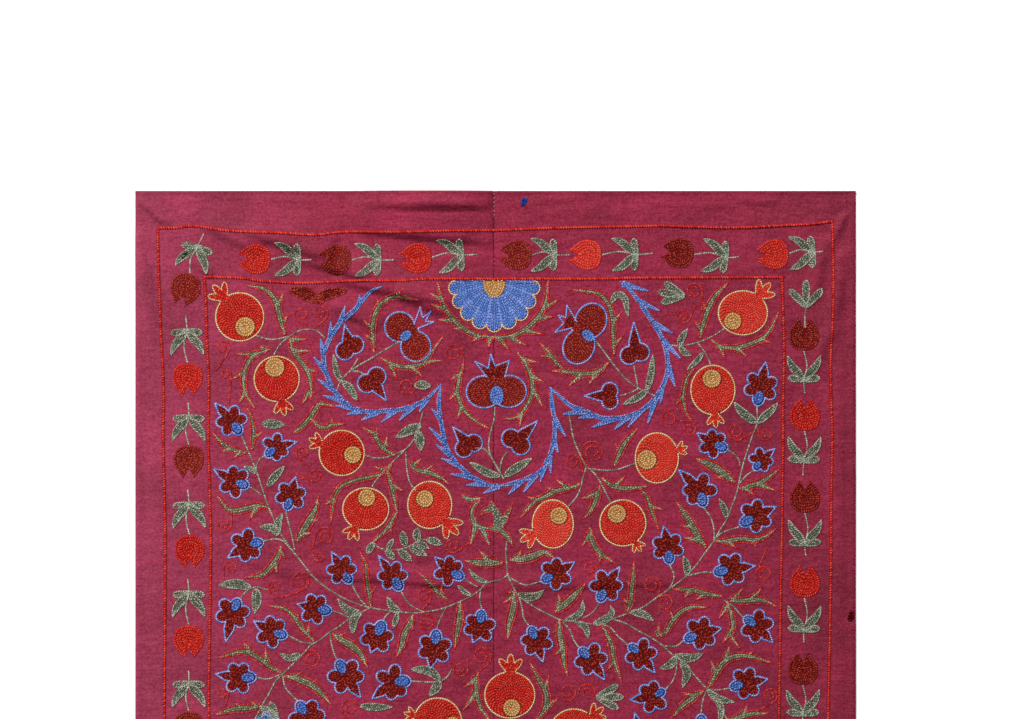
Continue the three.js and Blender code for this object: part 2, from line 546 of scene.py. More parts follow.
def pad(thread, place, rise, faces, lift, shade):
    """One mound of padding: its places, their rise as a share, their lift and tone (a dark tone, painted
    shade), and its triangles.
    """
    parts = [place[:, 0], place[:, 1], rise, lift, np.clip(PAD_PAINTED_SHADE_TONE + SHADE_SHIFT * shade, 0, 1)]
    PADS[thread].append((np.column_stack([np.broadcast_to(part, len(place)) for part in parts]), faces))


def is_folded(place):
    """Tells whether the silk under some places is far from flat, by how much its heights leave their best
    plane."""
    height = on_face(place[:, 0], place[:, 1])
    plane = np.column_stack([place - place.mean(axis=0), np.ones(len(place))])
    slope = np.linalg.lstsq(plane, height, rcond=None)[0]
    return np.ptp(height - plane @ slope) > FOLDED


def pad_rings(thread, centre, reach, lift=0.0, shade=0.0):
    """Padding inside a reach on each bearing: rings of points, sunk at the rim, with a point in the middle of
    its face and one in the middle of its back. On folds the rings lie closer, and the back has them too."""
    widest = reach(np.linspace(0, TAU, 90)).max()
    count = np.interp(widest, [2 * PAD_STEP, 6 * PAD_STEP], PAD_CORNERS)
    bearing = np.linspace(0, TAU, round(count), endpoint=False)
    outer = reach(bearing)
    rim = centre + outer[:, None] * towards(bearing)
    folded = is_folded(np.vstack([rim, (rim + centre) / 2, centre]))
    step = PAD_STEP_ON_FOLDS if folded else PAD_STEP
    inner = np.linspace(1 - PAD_RIM / outer.max(), 0, max(2, round(outer.max() / step)), endpoint=False)
    under = inner if folded else inner[:0]
    share = np.concatenate([[0], under[::-1], [1.0], inner, [0]])[:, None]
    ring = (share * outer)[..., None] * towards(bearing) + centre
    rise = np.repeat(np.arange(len(share)) > len(under) + 1, len(bearing))
    index = np.arange(ring.shape[0] * ring.shape[1]).reshape(ring.shape[:2])
    index[0] = index[0, 0]
    index[-1] = index[-1, 0]
    after = np.roll(index, -1, axis=1)
    first = np.stack([after[1], index[1], index[0]], axis=-1)
    faces = halves(np.stack([index[1:-2], after[1:-2], after[2:-1], index[2:-1]], axis=-1))
    last = np.stack([index[-2], after[-2], index[-1]], axis=-1)
    faces = np.concatenate([first, faces, last])
    used, faces = np.unique(faces, return_inverse=True)
    pad(thread, ring.reshape(-1, 2)[used], rise[used], faces.reshape(-1, 3), lift, shade)


def pad_strip(thread, place, across, reach, shade):
    """Padding along a spine: a flat-topped section, sunk at its rims, carried along it. On folds it has more
    points along and across, and its back has them too."""
    folded = is_folded(place)
    if len(place) > 4 and not folded:
        place, across, reach = (part[::2] for part in (place, across, reach))
    top = np.linspace(-PAD_FLAT, PAD_FLAT, 6 if folded else 2)
    under = top[::-1] if folded else top[:0]
    section = np.concatenate([[-1], top, [1], under])
    points = place[:, None] + (reach[:, None] * section)[..., None] * across[:, None]
    rise = np.tile(np.concatenate([[0], np.ones(len(top)), [0], np.zeros(len(under))]), len(place))
    index = np.arange(len(section) * len(place)).reshape(-1, len(section))
    after = np.roll(index, -1, axis=1)
    sides = halves(np.stack([index[:-1], index[1:], after[1:], after[:-1]], axis=-1))
    fan = np.arange(1, len(section) - 1)
    start = np.stack([np.zeros_like(fan), fan, fan + 1], axis=-1)
    faces = np.concatenate([sides, start, start[:, ::-1] + index[-1, 0]])
    pad(thread, points.reshape(-1, 2), rise, faces, 0.0, shade)


def turned_stitches():
    """The other half of the cloth: all sewn so far, turned half round about the cloth's middle."""
    half_round = np.array([-1, -1, 1, 1, 1, 1, 1, 1])
    for sewn in STITCHES.values():
        sewn.extend([stitches * half_round + (0, 0, math.pi, 0, 0, 0, 0, 0) for stitches in sewn])
    for padded in PADS.values():
        padded.extend([(points * (-1, -1, 1, 1, 1), faces) for points, faces in padded])


def stitch_piece(name, stitches, pads, material):
    """All thread of one colour on one panel as a joined mesh: the grain's own shape is turned, sized and set
    on the cloth's face for every stitch at once, and the padding is added to it."""
    x, y, heading, length, width, height, lift, tone = (column[:, None] for column in stitches.T)
    along, across, rise = (np.array([point[key] for point in LOOP]) for key in ("along", "across", "rise"))
    east = x + along * length * np.cos(heading) - across * width * np.sin(heading)
    north = y + along * length * np.sin(heading) + across * width * np.cos(heading)
    up = on_face(east, north) - SUNK + lift + rise * height
    points = [np.stack([east, north, up], axis=-1).reshape(-1, 3)]
    faces = [(LOOP_FACES + len(LOOP) * np.arange(len(stitches))[:, None, None]).reshape(-1, 3)]
    tones = [np.repeat(tone, len(LOOP))]
    painted_shade_rises = [np.tile(rise, len(stitches))]
    for padding, triangles in pads:
        faces.append(triangles + sum(len(part) for part in points))
        east, north, raised, lift, tone = padding.T
        up = on_face(east, north) - SUNK + raised * PAD_RISE + lift
        points.append(np.column_stack([east, north, up]))
        tones.append(tone)
        # Painted shade on the padding
        painted_shade_rises.append(raised * PAD_PAINTED_SHADE_RISE)
    piece = new_piece(name, np.concatenate(points), np.concatenate(faces), material)
    # The rise attribute carries painted shade for the thread's shader
    for key, value in (("tone", tones), ("rise", painted_shade_rises)):
        attribute = piece.data.attributes.new(key, "FLOAT", "POINT")
        attribute.data.foreach_set("value", np.concatenate(value).astype(np.float32))
    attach(piece, "root")
    return piece


# Fills: the distance between rows and between the stitches of a row, the first row's distance in from the
# outline as a share of a row, the size of a stitch, and its random stray in place and in heading
ROW = 3.4
STEP = 2.6
FIRST_ROW = 0.75
FILL_LENGTH = 1.6 * ROW
FILL_WIDTH = 0.76 * STEP
FILL_HEIGHT = 0.42
FILL_LIFT = 0.3
FILL_STRAY = 0.15
RING_SLANT = 0.5
RING_STAGGER = 0.2
RING_TURN = 0.2
RAY_TURN = 0.12
RAYS_CROWD = 0.4
LEAST_RADIUS = 0.5

# The bearings that outlines and rings are drawn on, and how far past its ends an open outline counts
OUTLINE_BEARINGS = 361
RING_BEARINGS = 721
END_SLACK = 0.01

# Lines and leaves: the distances between their stitches and between rows, and from a leaf's edge to its rows
LINE_STEP = 2.7
LINE_TURN = 0.06
LEAF_STEP = 3.0
LEAF_ROW = 2.3
LEAF_MARGIN = 1.2
LEAF_STITCH = {"length": 1.5 * LEAF_STEP, "width": 1.8, "height": 0.45, "lift": FILL_LIFT}
LEAF_STRAY = 0.2
LEAF_LEAN = 0.2
LEAF_TURN = 0.3
RIM_STEP = 1.2
EDGE_WIDTH = 2.2
SHORT_LEAF = 20.0
THORN_SLIM = 0.36
SMOOTH_STEPS = 12

# Tendrils: points to a turn, where the spiral starts, and the share of its radius that is left at its end
CURL_POINTS = 9
CURL_START = 1.0
CURL_END = 0.3

# A leaf's outline, in an edge thread or in its own: how far outside its width it runs, how far past its tip,
# its lift and its shade
EDGE_OUTLINE = {"outside": 0.7, "past_tip": 2.5, "lift": 0.1, "shade": 0.0}
PLAIN_OUTLINE = {"outside": -0.7, "past_tip": 1.0, "lift": 0.35, "shade": 0.25}


def smooth(points):
    """A curve through the points: each stretch is a cubic whose ends run parallel to the chord of their
    neighbours."""
    points = np.asarray(points, float)
    points = np.vstack([2 * points[0] - points[1], points, 2 * points[-1] - points[-2]])
    before, start, end, after = (points[i : len(points) - 3 + i, None] for i in range(4))
    share = (np.arange(SMOOTH_STEPS) / SMOOTH_STEPS)[:, None]
    curve = start + share * (end - before) / 2
    curve = curve + share**2 * (before - 2.5 * start + 2 * end - after / 2)
    curve = curve + share**3 * (1.5 * start - before / 2 - 1.5 * end + after / 2)
    return np.vstack([curve.reshape(-1, 2), points[-2]])


def lengths_along(path):
    """The length of a path up to each of its points."""
    return np.concatenate([[0], np.cumsum(np.hypot(*np.diff(path, axis=0).T))])


def stepped(path, step):
    """Places, headings and shares of the whole length, at even steps along a path."""
    legs = np.diff(path, axis=0)
    along = lengths_along(path)
    count = max(2, round(along[-1] / step))
    at = (np.arange(count) + 0.5) * along[-1] / count
    place = np.column_stack([np.interp(at, along, path[:, 0]), np.interp(at, along, path[:, 1])])
    leg = np.clip(np.searchsorted(along, at) - 1, 0, len(legs) - 1)
    return place, np.arctan2(legs[leg, 1], legs[leg, 0]), at / along[-1]


def beside(path, away):
    """A path beside a path, at a distance to the left of the way it runs."""
    place, heading, _ = stepped(path, LINE_STEP)
    return place + away * left_of(heading)


def sew_line(thread, path, width, step=LINE_STEP, lean=0.42, height=0.95, lift=0.0, shade=0.0, length=1.8,
             bare=None):
    """One row of stitches along a path, each leaning a little off it, as the plies of a rope do, and so many
    steps long. bare tells the places that are left empty."""
    place, heading, _ = stepped(path, step)
    kept = slice(None) if bare is None else ~bare(place)
    place = place[kept]
    heading = heading[kept] + lean + rng.normal(0, LINE_TURN, len(place))
    sew(thread, place, heading, step * length, width, height, lift, shade, LINE_SPREAD)


def around(centre, reach, start=0.0, end=TAU):
    """The outline of a shape given as its reach from the centre on each bearing, from start to end."""
    bearing = np.linspace(start, end, OUTLINE_BEARINGS)
    return centre + reach(bearing)[:, None] * towards(bearing)


def drawn_in(reach, start, end):
    """An outline's reach less a little, over the bearings from start to end, and next to nothing on the
    others."""
    def padded(bearing):
        inside = (bearing >= start - END_SLACK) & (bearing <= end + END_SLACK)
        return np.where(inside, np.maximum(reach(bearing) - PAD_INSET, PAD_INSET), PAD_INSET)
    return padded


def fill(thread, place, heading, lift, shade):
    """The stitches of a fill: all of one size, a little longer than a row and narrower than a step."""
    sew(thread, place, heading, FILL_LENGTH, FILL_WIDTH, FILL_HEIGHT, lift + FILL_LIFT, shade, FILL_SPREAD)


def sew_rings(thread, centre, reach, bare=None, start=0.0, end=TAU, lift=0.0, shade=0.0):
    """Rings of stitches inside an outline given as a reach on each bearing: each ring lies a row further in,
    with its stitches at even steps, pointing away from the centre and slanted to one side or, on every other
    ring, to the other. Inside the outer ring they lie long and short. bare tells the places left empty."""
    pad_rings(thread, centre, drawn_in(reach, start, end), lift, shade)
    bearing = np.linspace(start, end, RING_BEARINGS)
    outer = reach(bearing)
    slant = RING_SLANT
    for inset in np.arange(FIRST_ROW * ROW, outer.max(), ROW):
        radius = np.clip(outer - inset, 0, None)
        along = np.cumsum(radius) * (bearing[1] - bearing[0])
        count = int(along[-1] / STEP)
        if count < 2:
            continue
        at = (np.arange(count) + rng.random()) * along[-1] / count
        facing = np.interp(at, along, bearing)
        far = np.interp(facing, bearing, radius)
        place = centre + far[:, None] * towards(facing)
        kept = far > LEAST_RADIUS
        if bare is not None:
            kept &= ~bare(place)
        place = place[kept] + rng.normal(0, FILL_STRAY, (kept.sum(), 2))
        outwards = place - centre
        slant = -slant
        heading = np.arctan2(outwards[:, 1], outwards[:, 0]) + slant + rng.normal(0, RING_TURN, len(place))
        stagger = ROW * rng.uniform(-RING_STAGGER, RING_STAGGER, len(place)) * (inset > ROW)
        fill(thread, place + stagger[:, None] * towards(heading), heading, lift, shade)


def sew_rays(thread, aim, hole, outline, shade):
    """Rays of stitches from a round hole at aim out to an outline: from the outline in, the stitches of a ray
    lie end to end, half a row off those beside it. Where the rays come twice as close, every other one
    stops."""
    edge, _, _ = stepped(outline, STEP)
    out = edge - aim
    far = np.hypot(out[:, 0], out[:, 1])[:, None]
    ray = np.arange(len(edge))[:, None]
    left = far - ROW * (FIRST_ROW + np.arange(far.max() // ROW) + 0.5 * (ray % 2))
    crowded = np.floor(np.log2(far / np.maximum(left, 1)) + RAYS_CROWD)
    kept = (left > hole) & (ray % 2**crowded == 0)
    heading = np.broadcast_to(np.arctan2(out[:, 1], out[:, 0])[:, None], left.shape)[kept]
    place = aim + (left[..., None] * (out / far)[:, None])[kept]
    place = place + rng.normal(0, FILL_STRAY, place.shape)
    heading = heading + rng.normal(0, RAY_TURN, len(place))
    fill(thread, place, heading, 0.0, shade)


def oval(wide, tall, turn=0.0):
    """Reach of an ellipse on each bearing."""
    def reach(bearing):
        return wide * tall / np.hypot(tall * np.cos(bearing - turn), wide * np.sin(bearing - turn))
    return reach


def axes(turn):
    """The two axes of a turned frame, as columns."""
    return np.column_stack([towards(turn), towards(turn + TAU / 4)])


def inside_oval(centre, wide, tall, turn=0.0):
    """Tells which places lie inside an ellipse."""
    def inside(place):
        across = (place - centre) @ axes(turn)
        return np.hypot(across[:, 0] / wide, across[:, 1] / tall) < 1
    return inside


def leaf_swell(share):
    """A leaf's width along its spine: pointed at both ends and widest before the middle."""
    return np.sin(math.pi * share**0.8) ** 0.62


def round_swell(share):
    """A round leaf's width along its spine: an oval."""
    return np.sqrt(np.clip(np.sin(math.pi * share), 0, 1))


def petal_swell(share):
    """A petal's width along its spine: a narrow foot and a round end."""
    return (0.45 + 0.75 * share) * np.sqrt(np.clip(1 - share**4, 0, 1))


def thorn_swell(share):
    """A thorn's width along its spine: broad at the foot and running out to a point."""
    return (1 - share) ** 0.85


def vine_swell(share):
    """A vine's width along its spine: even, and running out at both ends."""
    return np.minimum(np.minimum(share, 1 - share) / 0.12, 1) ** 0.7


def sew_leaf(thread, path, half_width, swell, edge=None, shade=0.0, bare=None):
    """Rows of stitches along a spine, side by side over its width, as wide as swell says, inside a lighter
    row round it. An edge thread, where there is one, runs round in its place, save where that is bare."""
    place, heading, share = stepped(path, LEAF_STEP)
    reach = half_width * swell(share)
    across = left_of(heading)
    pad_strip(thread, place, across, reach, shade)
    rows = max(1, round(2 * (half_width - LEAF_MARGIN) / LEAF_ROW))
    for row in range(rows):
        aside = ((2 * row + 1) / rows - 1) * np.maximum(reach - LEAF_MARGIN, 0)
        along = rng.uniform(-0.5, 0.5) * LEAF_STEP * towards(heading)
        line = place + aside[:, None] * across + along + rng.normal(0, LEAF_STRAY, place.shape)
        lie = heading + rng.normal(LEAF_LEAN, LEAF_TURN, len(place))
        sew(thread, line, lie, **LEAF_STITCH, shade=shade)
    outline = EDGE_OUTLINE if edge else PLAIN_OUTLINE
    place, heading, share = stepped(path, RIM_STEP)
    rim = left_of(heading) * half_width * swell(share)[:, None] * (1 + outline["outside"] / half_width)
    tip = path[-1:] + outline["past_tip"] * towards(heading[-1:])
    rim = np.vstack([path[:1], place + rim, tip, (place - rim)[::-1], path[:1]])
    sew_line(edge or thread, rim, EDGE_WIDTH, lift=outline["lift"], shade=outline["shade"], bare=bare)


def inside_leaves(leaves):
    """Tells which places lie inside any of some leaves, each a spine, a half width and a swell: nearer to a
    place on the spine than the leaf is wide there."""
    spines = [stepped(path, LEAF_STEP) for path, _, _ in leaves]
    centres = np.concatenate([place for place, _, _ in spines] or [np.zeros((0, 2))])
    reaches = [half_width * swell(spine[2]) for spine, (_, half_width, swell) in zip(spines, leaves)]
    reaches = np.concatenate(reaches or [np.zeros(0)])

    def inside(place):
        away = np.hypot(*(place[:, None] - centres[None]).transpose(2, 0, 1))
        return (away < reaches).any(axis=1)
    return inside


def sew_thorny(thread, spine, half_width, thorns, swell, edge, shade, foot=1.25, back=0.8):
    """A leaf or vine with thorns: each thorn leaves the spine behind the place nearest to its tip, by a share
    of its distance, and is as broad there as foot says, as a share of the half width."""
    path = smooth(spine)
    leaves = [(path, half_width, swell)]
    along = lengths_along(path)
    for tip in thorns:
        away = np.hypot(*(path - tip).T)
        nearest = np.argmin(away)
        root = path[np.argmin(np.abs(along - max(along[nearest] - back * away[nearest], 0)))]
        thick = min(foot * half_width, THORN_SLIM * foot * away[nearest])
        leaves.append((np.array([root, tip]), thick, thorn_swell))
    for index, leaf in enumerate(leaves):
        others = leaves[:index] + leaves[index + 1 :]
        sew_leaf(thread, *leaf, edge, shade, inside_leaves(others) if others else None)


def curl(root, middle, radius, turns):
    """A tendril: from its root it winds into a spiral about the middle, drawing in evenly as it turns."""
    way = math.copysign(1, turns)
    count = int(CURL_POINTS * abs(turns))
    angle = bearing_of(root - middle) + way * np.linspace(CURL_START, CURL_START + abs(turns) * TAU, count)
    far = radius * np.linspace(1, CURL_END, count)
    return smooth(np.vstack([root, middle + far[:, None] * towards(angle)]))


# Motifs
def blade(bearing, facing, tip, half_width, shoulder):
    """Reach of a pointed petal: even sides at a half width off its axis, that close to its tip from a
    shoulder, given as a share of its length."""
    off = np.abs((bearing - facing + math.pi) % TAU - math.pi)
    foot = half_width / (1 - shoulder)
    closing = tip * foot / (foot * np.cos(off) + tip * np.sin(off))
    even = half_width / np.maximum(np.sin(off), 1e-6)
    return np.where(off < math.pi / 2, np.minimum(closing, even), 0)


def lobe_reach(bearing, offset, wide, tall, turn=0.0):
    """Reach of an ellipse whose middle is set off from the centre; none where it isn't met."""
    ahead = np.stack([np.cos(bearing - turn) / wide, np.sin(bearing - turn) / tall])
    off = offset @ axes(turn) / (wide, tall)
    along = off[0] * ahead[0] + off[1] * ahead[1]
    square = (ahead**2).sum(axis=0)
    inside = along**2 - square * (off @ off - 1)
    far = (along + np.sqrt(np.clip(inside, 0, None))) / square
    return np.where((inside >= 0) & (far > 0), far, 0)


# The fingers of a pomegranate's crown: how far they spread, the half length and half width of each as shares
# of its length, and the length of those at the sides as a share of the middle one's
FINGER_SPREAD = 0.72
FINGER_LONG = 0.52
FINGER_WIDE = 0.2
SIDE_FINGER = 0.95

# The crown's round foot and the gap for it in the fruit's outline, as shares of its length, and how far its
# own outline runs round from its axis
CROWN_FOOT = 0.3
CROWN_GAP = 0.36
CROWN_TURN = 1.75

# How far a heart or an eye lies over the fill around it
HEART_LIFT = 0.3


def fingers(bearing, facing, length):
    """Reach of three narrow fingers that spread from one foot, each an ellipse."""
    def finger(turn, long):
        offset = FINGER_LONG * long * towards(facing + turn)
        return lobe_reach(bearing, offset, FINGER_LONG * long, FINGER_WIDE * long, facing + turn)

    sides = [finger(turn, SIDE_FINGER * length) for turn in (-FINGER_SPREAD, FINGER_SPREAD)]
    return np.maximum.reduce([finger(0.0, length), *sides])


def pomegranate(row):
    """A round fruit: red stitches that point away from a gold heart, a crown of three fingers, and a gold
    outline."""
    centre, heart, crown = (spot(row, name) for name in ("", "heart_", "crown_"))
    heart_size = 1.1 * PIXEL * row["heart"]
    wide, tall = PIXEL * row["wide"], PIXEL * row["tall"]
    body = oval(wide, tall)
    bearing = bearing_of(crown - centre)
    neck = centre + body(bearing) * towards(bearing)
    length = np.hypot(*(crown - neck))

    def crown_reach(facing):
        return np.maximum(fingers(facing, bearing, length), CROWN_FOOT * length)

    pad_rings("thread_red", centre, oval(wide - PAD_INSET, tall - PAD_INSET), shade=row["pale"])
    sew_rays("thread_red", heart, heart_size, around(centre, body), row["pale"])
    sew_rings("thread_red", neck, crown_reach, shade=0.1 + row["pale"])
    sew_rings("thread_gold", heart, oval(heart_size, heart_size), lift=HEART_LIFT, shade=0.1)
    neck_gap = inside_oval(neck, CROWN_GAP * length, CROWN_GAP * length)
    sew_line("thread_gold", around(centre, body), width=2.5, lift=0.15, shade=0.5, bare=neck_gap)
    crown_edge = around(neck, crown_reach, bearing - CROWN_TURN, bearing + CROWN_TURN)
    sew_line("thread_gold", crown_edge, width=1.9, lift=0.2, shade=0.4)


def cornered(bearing, corners):
    """Reach of a shape with straight sides between its corners: as far as the furthest side that each bearing
    meets."""
    east, north = np.cos(bearing), np.sin(bearing)
    reach = np.zeros_like(bearing)
    for start, end in zip(corners, np.roll(corners, -1, axis=0)):
        side = end - start
        turned = east * side[1] - north * side[0]
        turned = np.where(np.abs(turned) < 1e-9, 1e-9, turned)
        far = (start[0] * side[1] - start[1] * side[0]) / turned
        share = (start[0] * north - start[1] * east) / turned
        met = (share >= 0) & (share <= 1) & (far > 0)
        reach = np.where(met, np.maximum(reach, far), reach)
    return reach


# The periwinkle outline of the dark flowers
OUTLINE = {"width": 3.2, "lift": 0.15, "shade": 0.36}

# A small flower's round lobes: where they face, as shares of the turn from its tip to its stem, how far out
# they lie, and their half length and half width, as shares of its size; then its core and its pointed petal
LOBE_TURNS = (0.31, 0.65)
LOBE_OUT = 0.64
LOBE_LONG = 0.44
LOBE_WIDE = 0.37
CORE_SIZE = 0.5
PETAL_WIDE = 0.3
PETAL_SHOULDER = 0.58

# Where its heart lies on the way to its stem, and the maroon rim that is left round it
HEART_OUT = 0.54
HEART_RIM = 1.2


def flower(row):
    """A small flower: two round lobes on each side between a pointed petal and the stem, in maroon with a
    periwinkle outline, and a blue heart at the stem."""
    centre = spot(row)
    to_tip = spot(row, "tip_") - centre
    to_base = spot(row, "base_") - centre
    to_heart = HEART_OUT * to_base
    size = PIXEL * row["reach"]
    tip_facing = bearing_of(to_tip)
    base_facing = bearing_of(to_base)
    turn = (base_facing - tip_facing) % TAU
    facings = [tip_facing + way * share for way in (turn, turn - TAU) for share in LOBE_TURNS]
    heart_long, heart_wide = PIXEL * row["heart"] * np.array([1.14, 0.78])

    def round_lobe(bearing, facing):
        offset = LOBE_OUT * size * towards(facing)
        return lobe_reach(bearing, offset, LOBE_LONG * size, LOBE_WIDE * size, facing)

    def reach(bearing):
        pointed = blade(bearing, tip_facing, np.hypot(*to_tip), PETAL_WIDE * size, PETAL_SHOULDER)
        rounds = [round_lobe(bearing, facing) for facing in facings]
        at_heart = lobe_reach(bearing, to_heart, heart_long + HEART_RIM, heart_wide + HEART_RIM, base_facing)
        return np.maximum.reduce([pointed, at_heart, np.full_like(bearing, CORE_SIZE * size), *rounds])

    heart = centre + to_heart
    sew_rings("thread_maroon", centre, reach, inside_oval(heart, heart_long, heart_wide, base_facing))
    sew_line("thread_blue", around(centre, reach), **OUTLINE)
    sew_rings("thread_blue", heart, oval(heart_long, heart_wide, base_facing), lift=HEART_LIFT, shade=0.05)


# A bud's lobes and its pointed petal, as shares of its size
BUD_LOBE_OUT = 0.4
BUD_LOBE = 0.62
BUD_PETAL_WIDE = 0.38
BUD_PETAL_SHOULDER = 0.4


def bud(row):
    """A bud: two round lobes to the sides of its stem and one long pointed petal between them, in maroon with
    a periwinkle outline."""
    centre = spot(row)
    to_tip = spot(row, "tip_") - centre
    facing = bearing_of(to_tip)
    size = PIXEL * row["reach"]
    sideways = BUD_LOBE_OUT * size * towards(facing + math.radians(row["slant"]))

    def reach(bearing):
        lobes = [lobe_reach(bearing, side * sideways, BUD_LOBE * size, BUD_LOBE * size) for side in (1, -1)]
        pointed = blade(bearing, facing, np.hypot(*to_tip), BUD_PETAL_WIDE * size, BUD_PETAL_SHOULDER)
        return np.maximum.reduce([pointed, *lobes])

    sew_rings("thread_maroon", centre, reach)
    sew_line("thread_blue", around(centre, reach), **OUTLINE)


def great_flower(row, corners):
    """A large dark flower: two round lobes side by side, a blue heart at the stem, and between the lobes a
    crown given by its corners, filled as far as a share of its height."""
    first, second, heart = (spot(row, name) for name in ("a_", "b_", "heart_"))
    centre = (first + second) / 2
    foot = (corners[0] + corners[-1]) / 2
    sideways = (first - second) / 2
    facing = bearing_of(sideways)
    wide, tall = PIXEL * row["wide"], PIXEL * row["tall"]

    def reach(bearing):
        lobes = [lobe_reach(bearing, side * sideways, wide, tall, facing) for side in (1, -1)]
        core = np.hypot(*(foot - centre)) / 2 + 1
        return np.maximum.reduce([*lobes, lobe_reach(bearing, (foot - centre) / 2, core, core)])

    def trunk_reach(bearing):
        whole = cornered(bearing, corners - foot)
        return np.minimum(whole, row["filled"] * whole.max())

    heart_long, heart_wide = PIXEL * row["heart"] * np.array([1.2, 0.85])
    stemward = bearing_of(heart - foot)
    sew_rings("thread_maroon", centre, reach, inside_oval(heart, heart_long, heart_wide, stemward), shade=0.2)
    if row["filled"]:
        sew_rings("thread_maroon", foot, trunk_reach)
    neck = 0.5 * np.hypot(*(corners[0] - corners[-1]))
    sew_line("thread_blue", around(centre, reach), **OUTLINE, bare=inside_oval(foot, neck, neck))
    sew_line("thread_blue", corners, width=2.7, lift=0.2, shade=0.45)
    sew_rings("thread_blue", heart, oval(heart_long, heart_wide, stemward), lift=HEART_LIFT, shade=0.25)


# A tulip's reach in pixels on bearings off its axis, in degrees: two points with a notch between them, and a
# round foot
TULIP = table("off_axis reach", """
    0    8.0
    7    9.6
    13   12.5
    16   16.6
    18   19.0
    23   17.2
    40   15.4
    58   15.3
    86   15.6
    111  16.5
    133  17.4
    154  17.0
    180  16.2
""")
TULIP_FOOT = TULIP[-1]["reach"]
TULIP_BOW = 3.0

# The spines of its leaf and of the lobe under that, in pixels from the stem's joint
TULIP_LEAF = table("ahead aside", """
    0    1
    7    5
    15   12
    24   16
""")
TULIP_LOBE = table("ahead aside", """
    0.5  0.5
    2    7
    3    15
""")
TULIP_LEAF_WIDE = 5.0


def tulip(row):
    """A border tulip: the flower, and a stem with a pointed leaf and a round lobe on each side of its
    joint."""
    centre, joint, end = (spot(row, name) for name in ("", "joint_", "end_"))
    ahead = PIXEL * (centre - joint) / np.hypot(*(centre - joint))
    facing = bearing_of(ahead)
    aside = np.array([-ahead[1], ahead[0]])

    def reach(bearing):
        off_axis = np.abs((bearing - facing + math.pi) % TAU - math.pi)
        knots = [point["reach"] for point in TULIP]
        return PIXEL * np.interp(np.degrees(off_axis), [point["off_axis"] for point in TULIP], knots)

    sew_rings("thread_red" if row["red"] else "thread_maroon", centre, reach, shade=row["pale"])
    foot = centre - TULIP_FOOT * ahead
    bow = (joint + foot) / 2 - TULIP_BOW * aside
    sew_line("thread_sage", smooth([end, joint, bow, foot]), width=2.6, shade=0.4)
    for side in (-1, 1):
        for spine, swell in ((TULIP_LEAF, leaf_swell), (TULIP_LOBE, petal_swell)):
            path = [joint + point["ahead"] * ahead + side * point["aside"] * aside for point in spine]
            sew_leaf("thread_sage", smooth(path), TULIP_LEAF_WIDE, swell)


# The depth of a scallop's notch as a share of the reach
SCALLOP_DEPTH = 0.14


def scallops(wide, tall, count):
    """Reach of an ellipse with round scallops, count to the half circle: less by a share in the notches, and
    between them rising as the root of a sine."""
    plain = oval(wide, tall)

    def reach(bearing):
        return plain(bearing) * (1 - SCALLOP_DEPTH + SCALLOP_DEPTH * np.abs(np.sin(count * bearing)) ** 0.5)
    return reach


def rosette(row):
    """A blue scalloped rosette with a gold outline and a gold eye, over the bearings from start to end, given
    in half turns."""
    centre = spot(row)
    start, end = math.pi * row["start"], math.pi * row["end"]
    edge = scallops(PIXEL * row["wide"], PIXEL * row["tall"], row["scallops"])
    eye = oval(PIXEL * row["eye_wide"], PIXEL * row["eye_tall"])
    outline = around(centre, edge, start, end)
    pad_rings("thread_blue", centre, drawn_in(edge, start, end), shade=0.15)
    sew_rays("thread_blue", centre, PIXEL * row["eye_wide"], outline, shade=0.1)
    sew_rings("thread_gold", centre, eye, start=start, end=end, lift=HEART_LIFT, shade=0.05)
    sew_line("thread_gold", outline, width=2.4, lift=0.2, shade=0.5)


# A trefoil's half width in millimetres, and the length of its side lobes as a share of the middle one's
TREFOIL_WIDE = 5.2
SIDE_LOBE = 0.9


def trefoil(row):
    """A plain leaf of three round lobes that spread from one foot."""
    foot = spot(row, "foot_")
    middle = spot(row, "tip_") - foot
    for turn, share in ((-row["spread"], SIDE_LOBE), (0.0, 1.0), (row["spread"], SIDE_LOBE)):
        tip = foot + share * np.hypot(*middle) * towards(bearing_of(middle) + turn)
        sew_leaf("thread_sage", np.array([foot, tip]), TREFOIL_WIDE, petal_swell)


# The design: places read from the photograph, and plain continuations of it past its lower edge
POMEGRANATES = table("px py wide tall heart_px heart_py heart crown_px crown_py pale", """
    240 317 24   24    245.5 327   9.5  214 286  0.05
    277 379 22.5 22.5  275   367.5 9.5  285 415  0.0
    743 313 24.5 22    733   321.5 8.5  770 284  0.45
    713 390 22   24.5  712   379   9    716 427  0.2
    342 453 22.5 22.5  353   455   8.5  310 439  0.0
    366 509 23   21    367   498   8.5  349 539  0.1
    430 505 22   23.5  425   499   8.5  458 534  0.25
    657 458 21.5 25    647   460   9.5  687 447  0.42
    553 524 20.5 24    559   516   8.5  521 541  0.6
    623 523 23   23    617   514   9    641 551  0.15
    510 695 25   23    512   708   8.5  511 655  0.1
    438 722 24   24    453   725   8    405 713  0.1
    574 732 24   23    564   742   8.5  603 708  0.1
    388 759 23   23    401   765   8.5  352 742  0.0
    612 786 23   23    599   789   8.5  651 779  0.1
""")
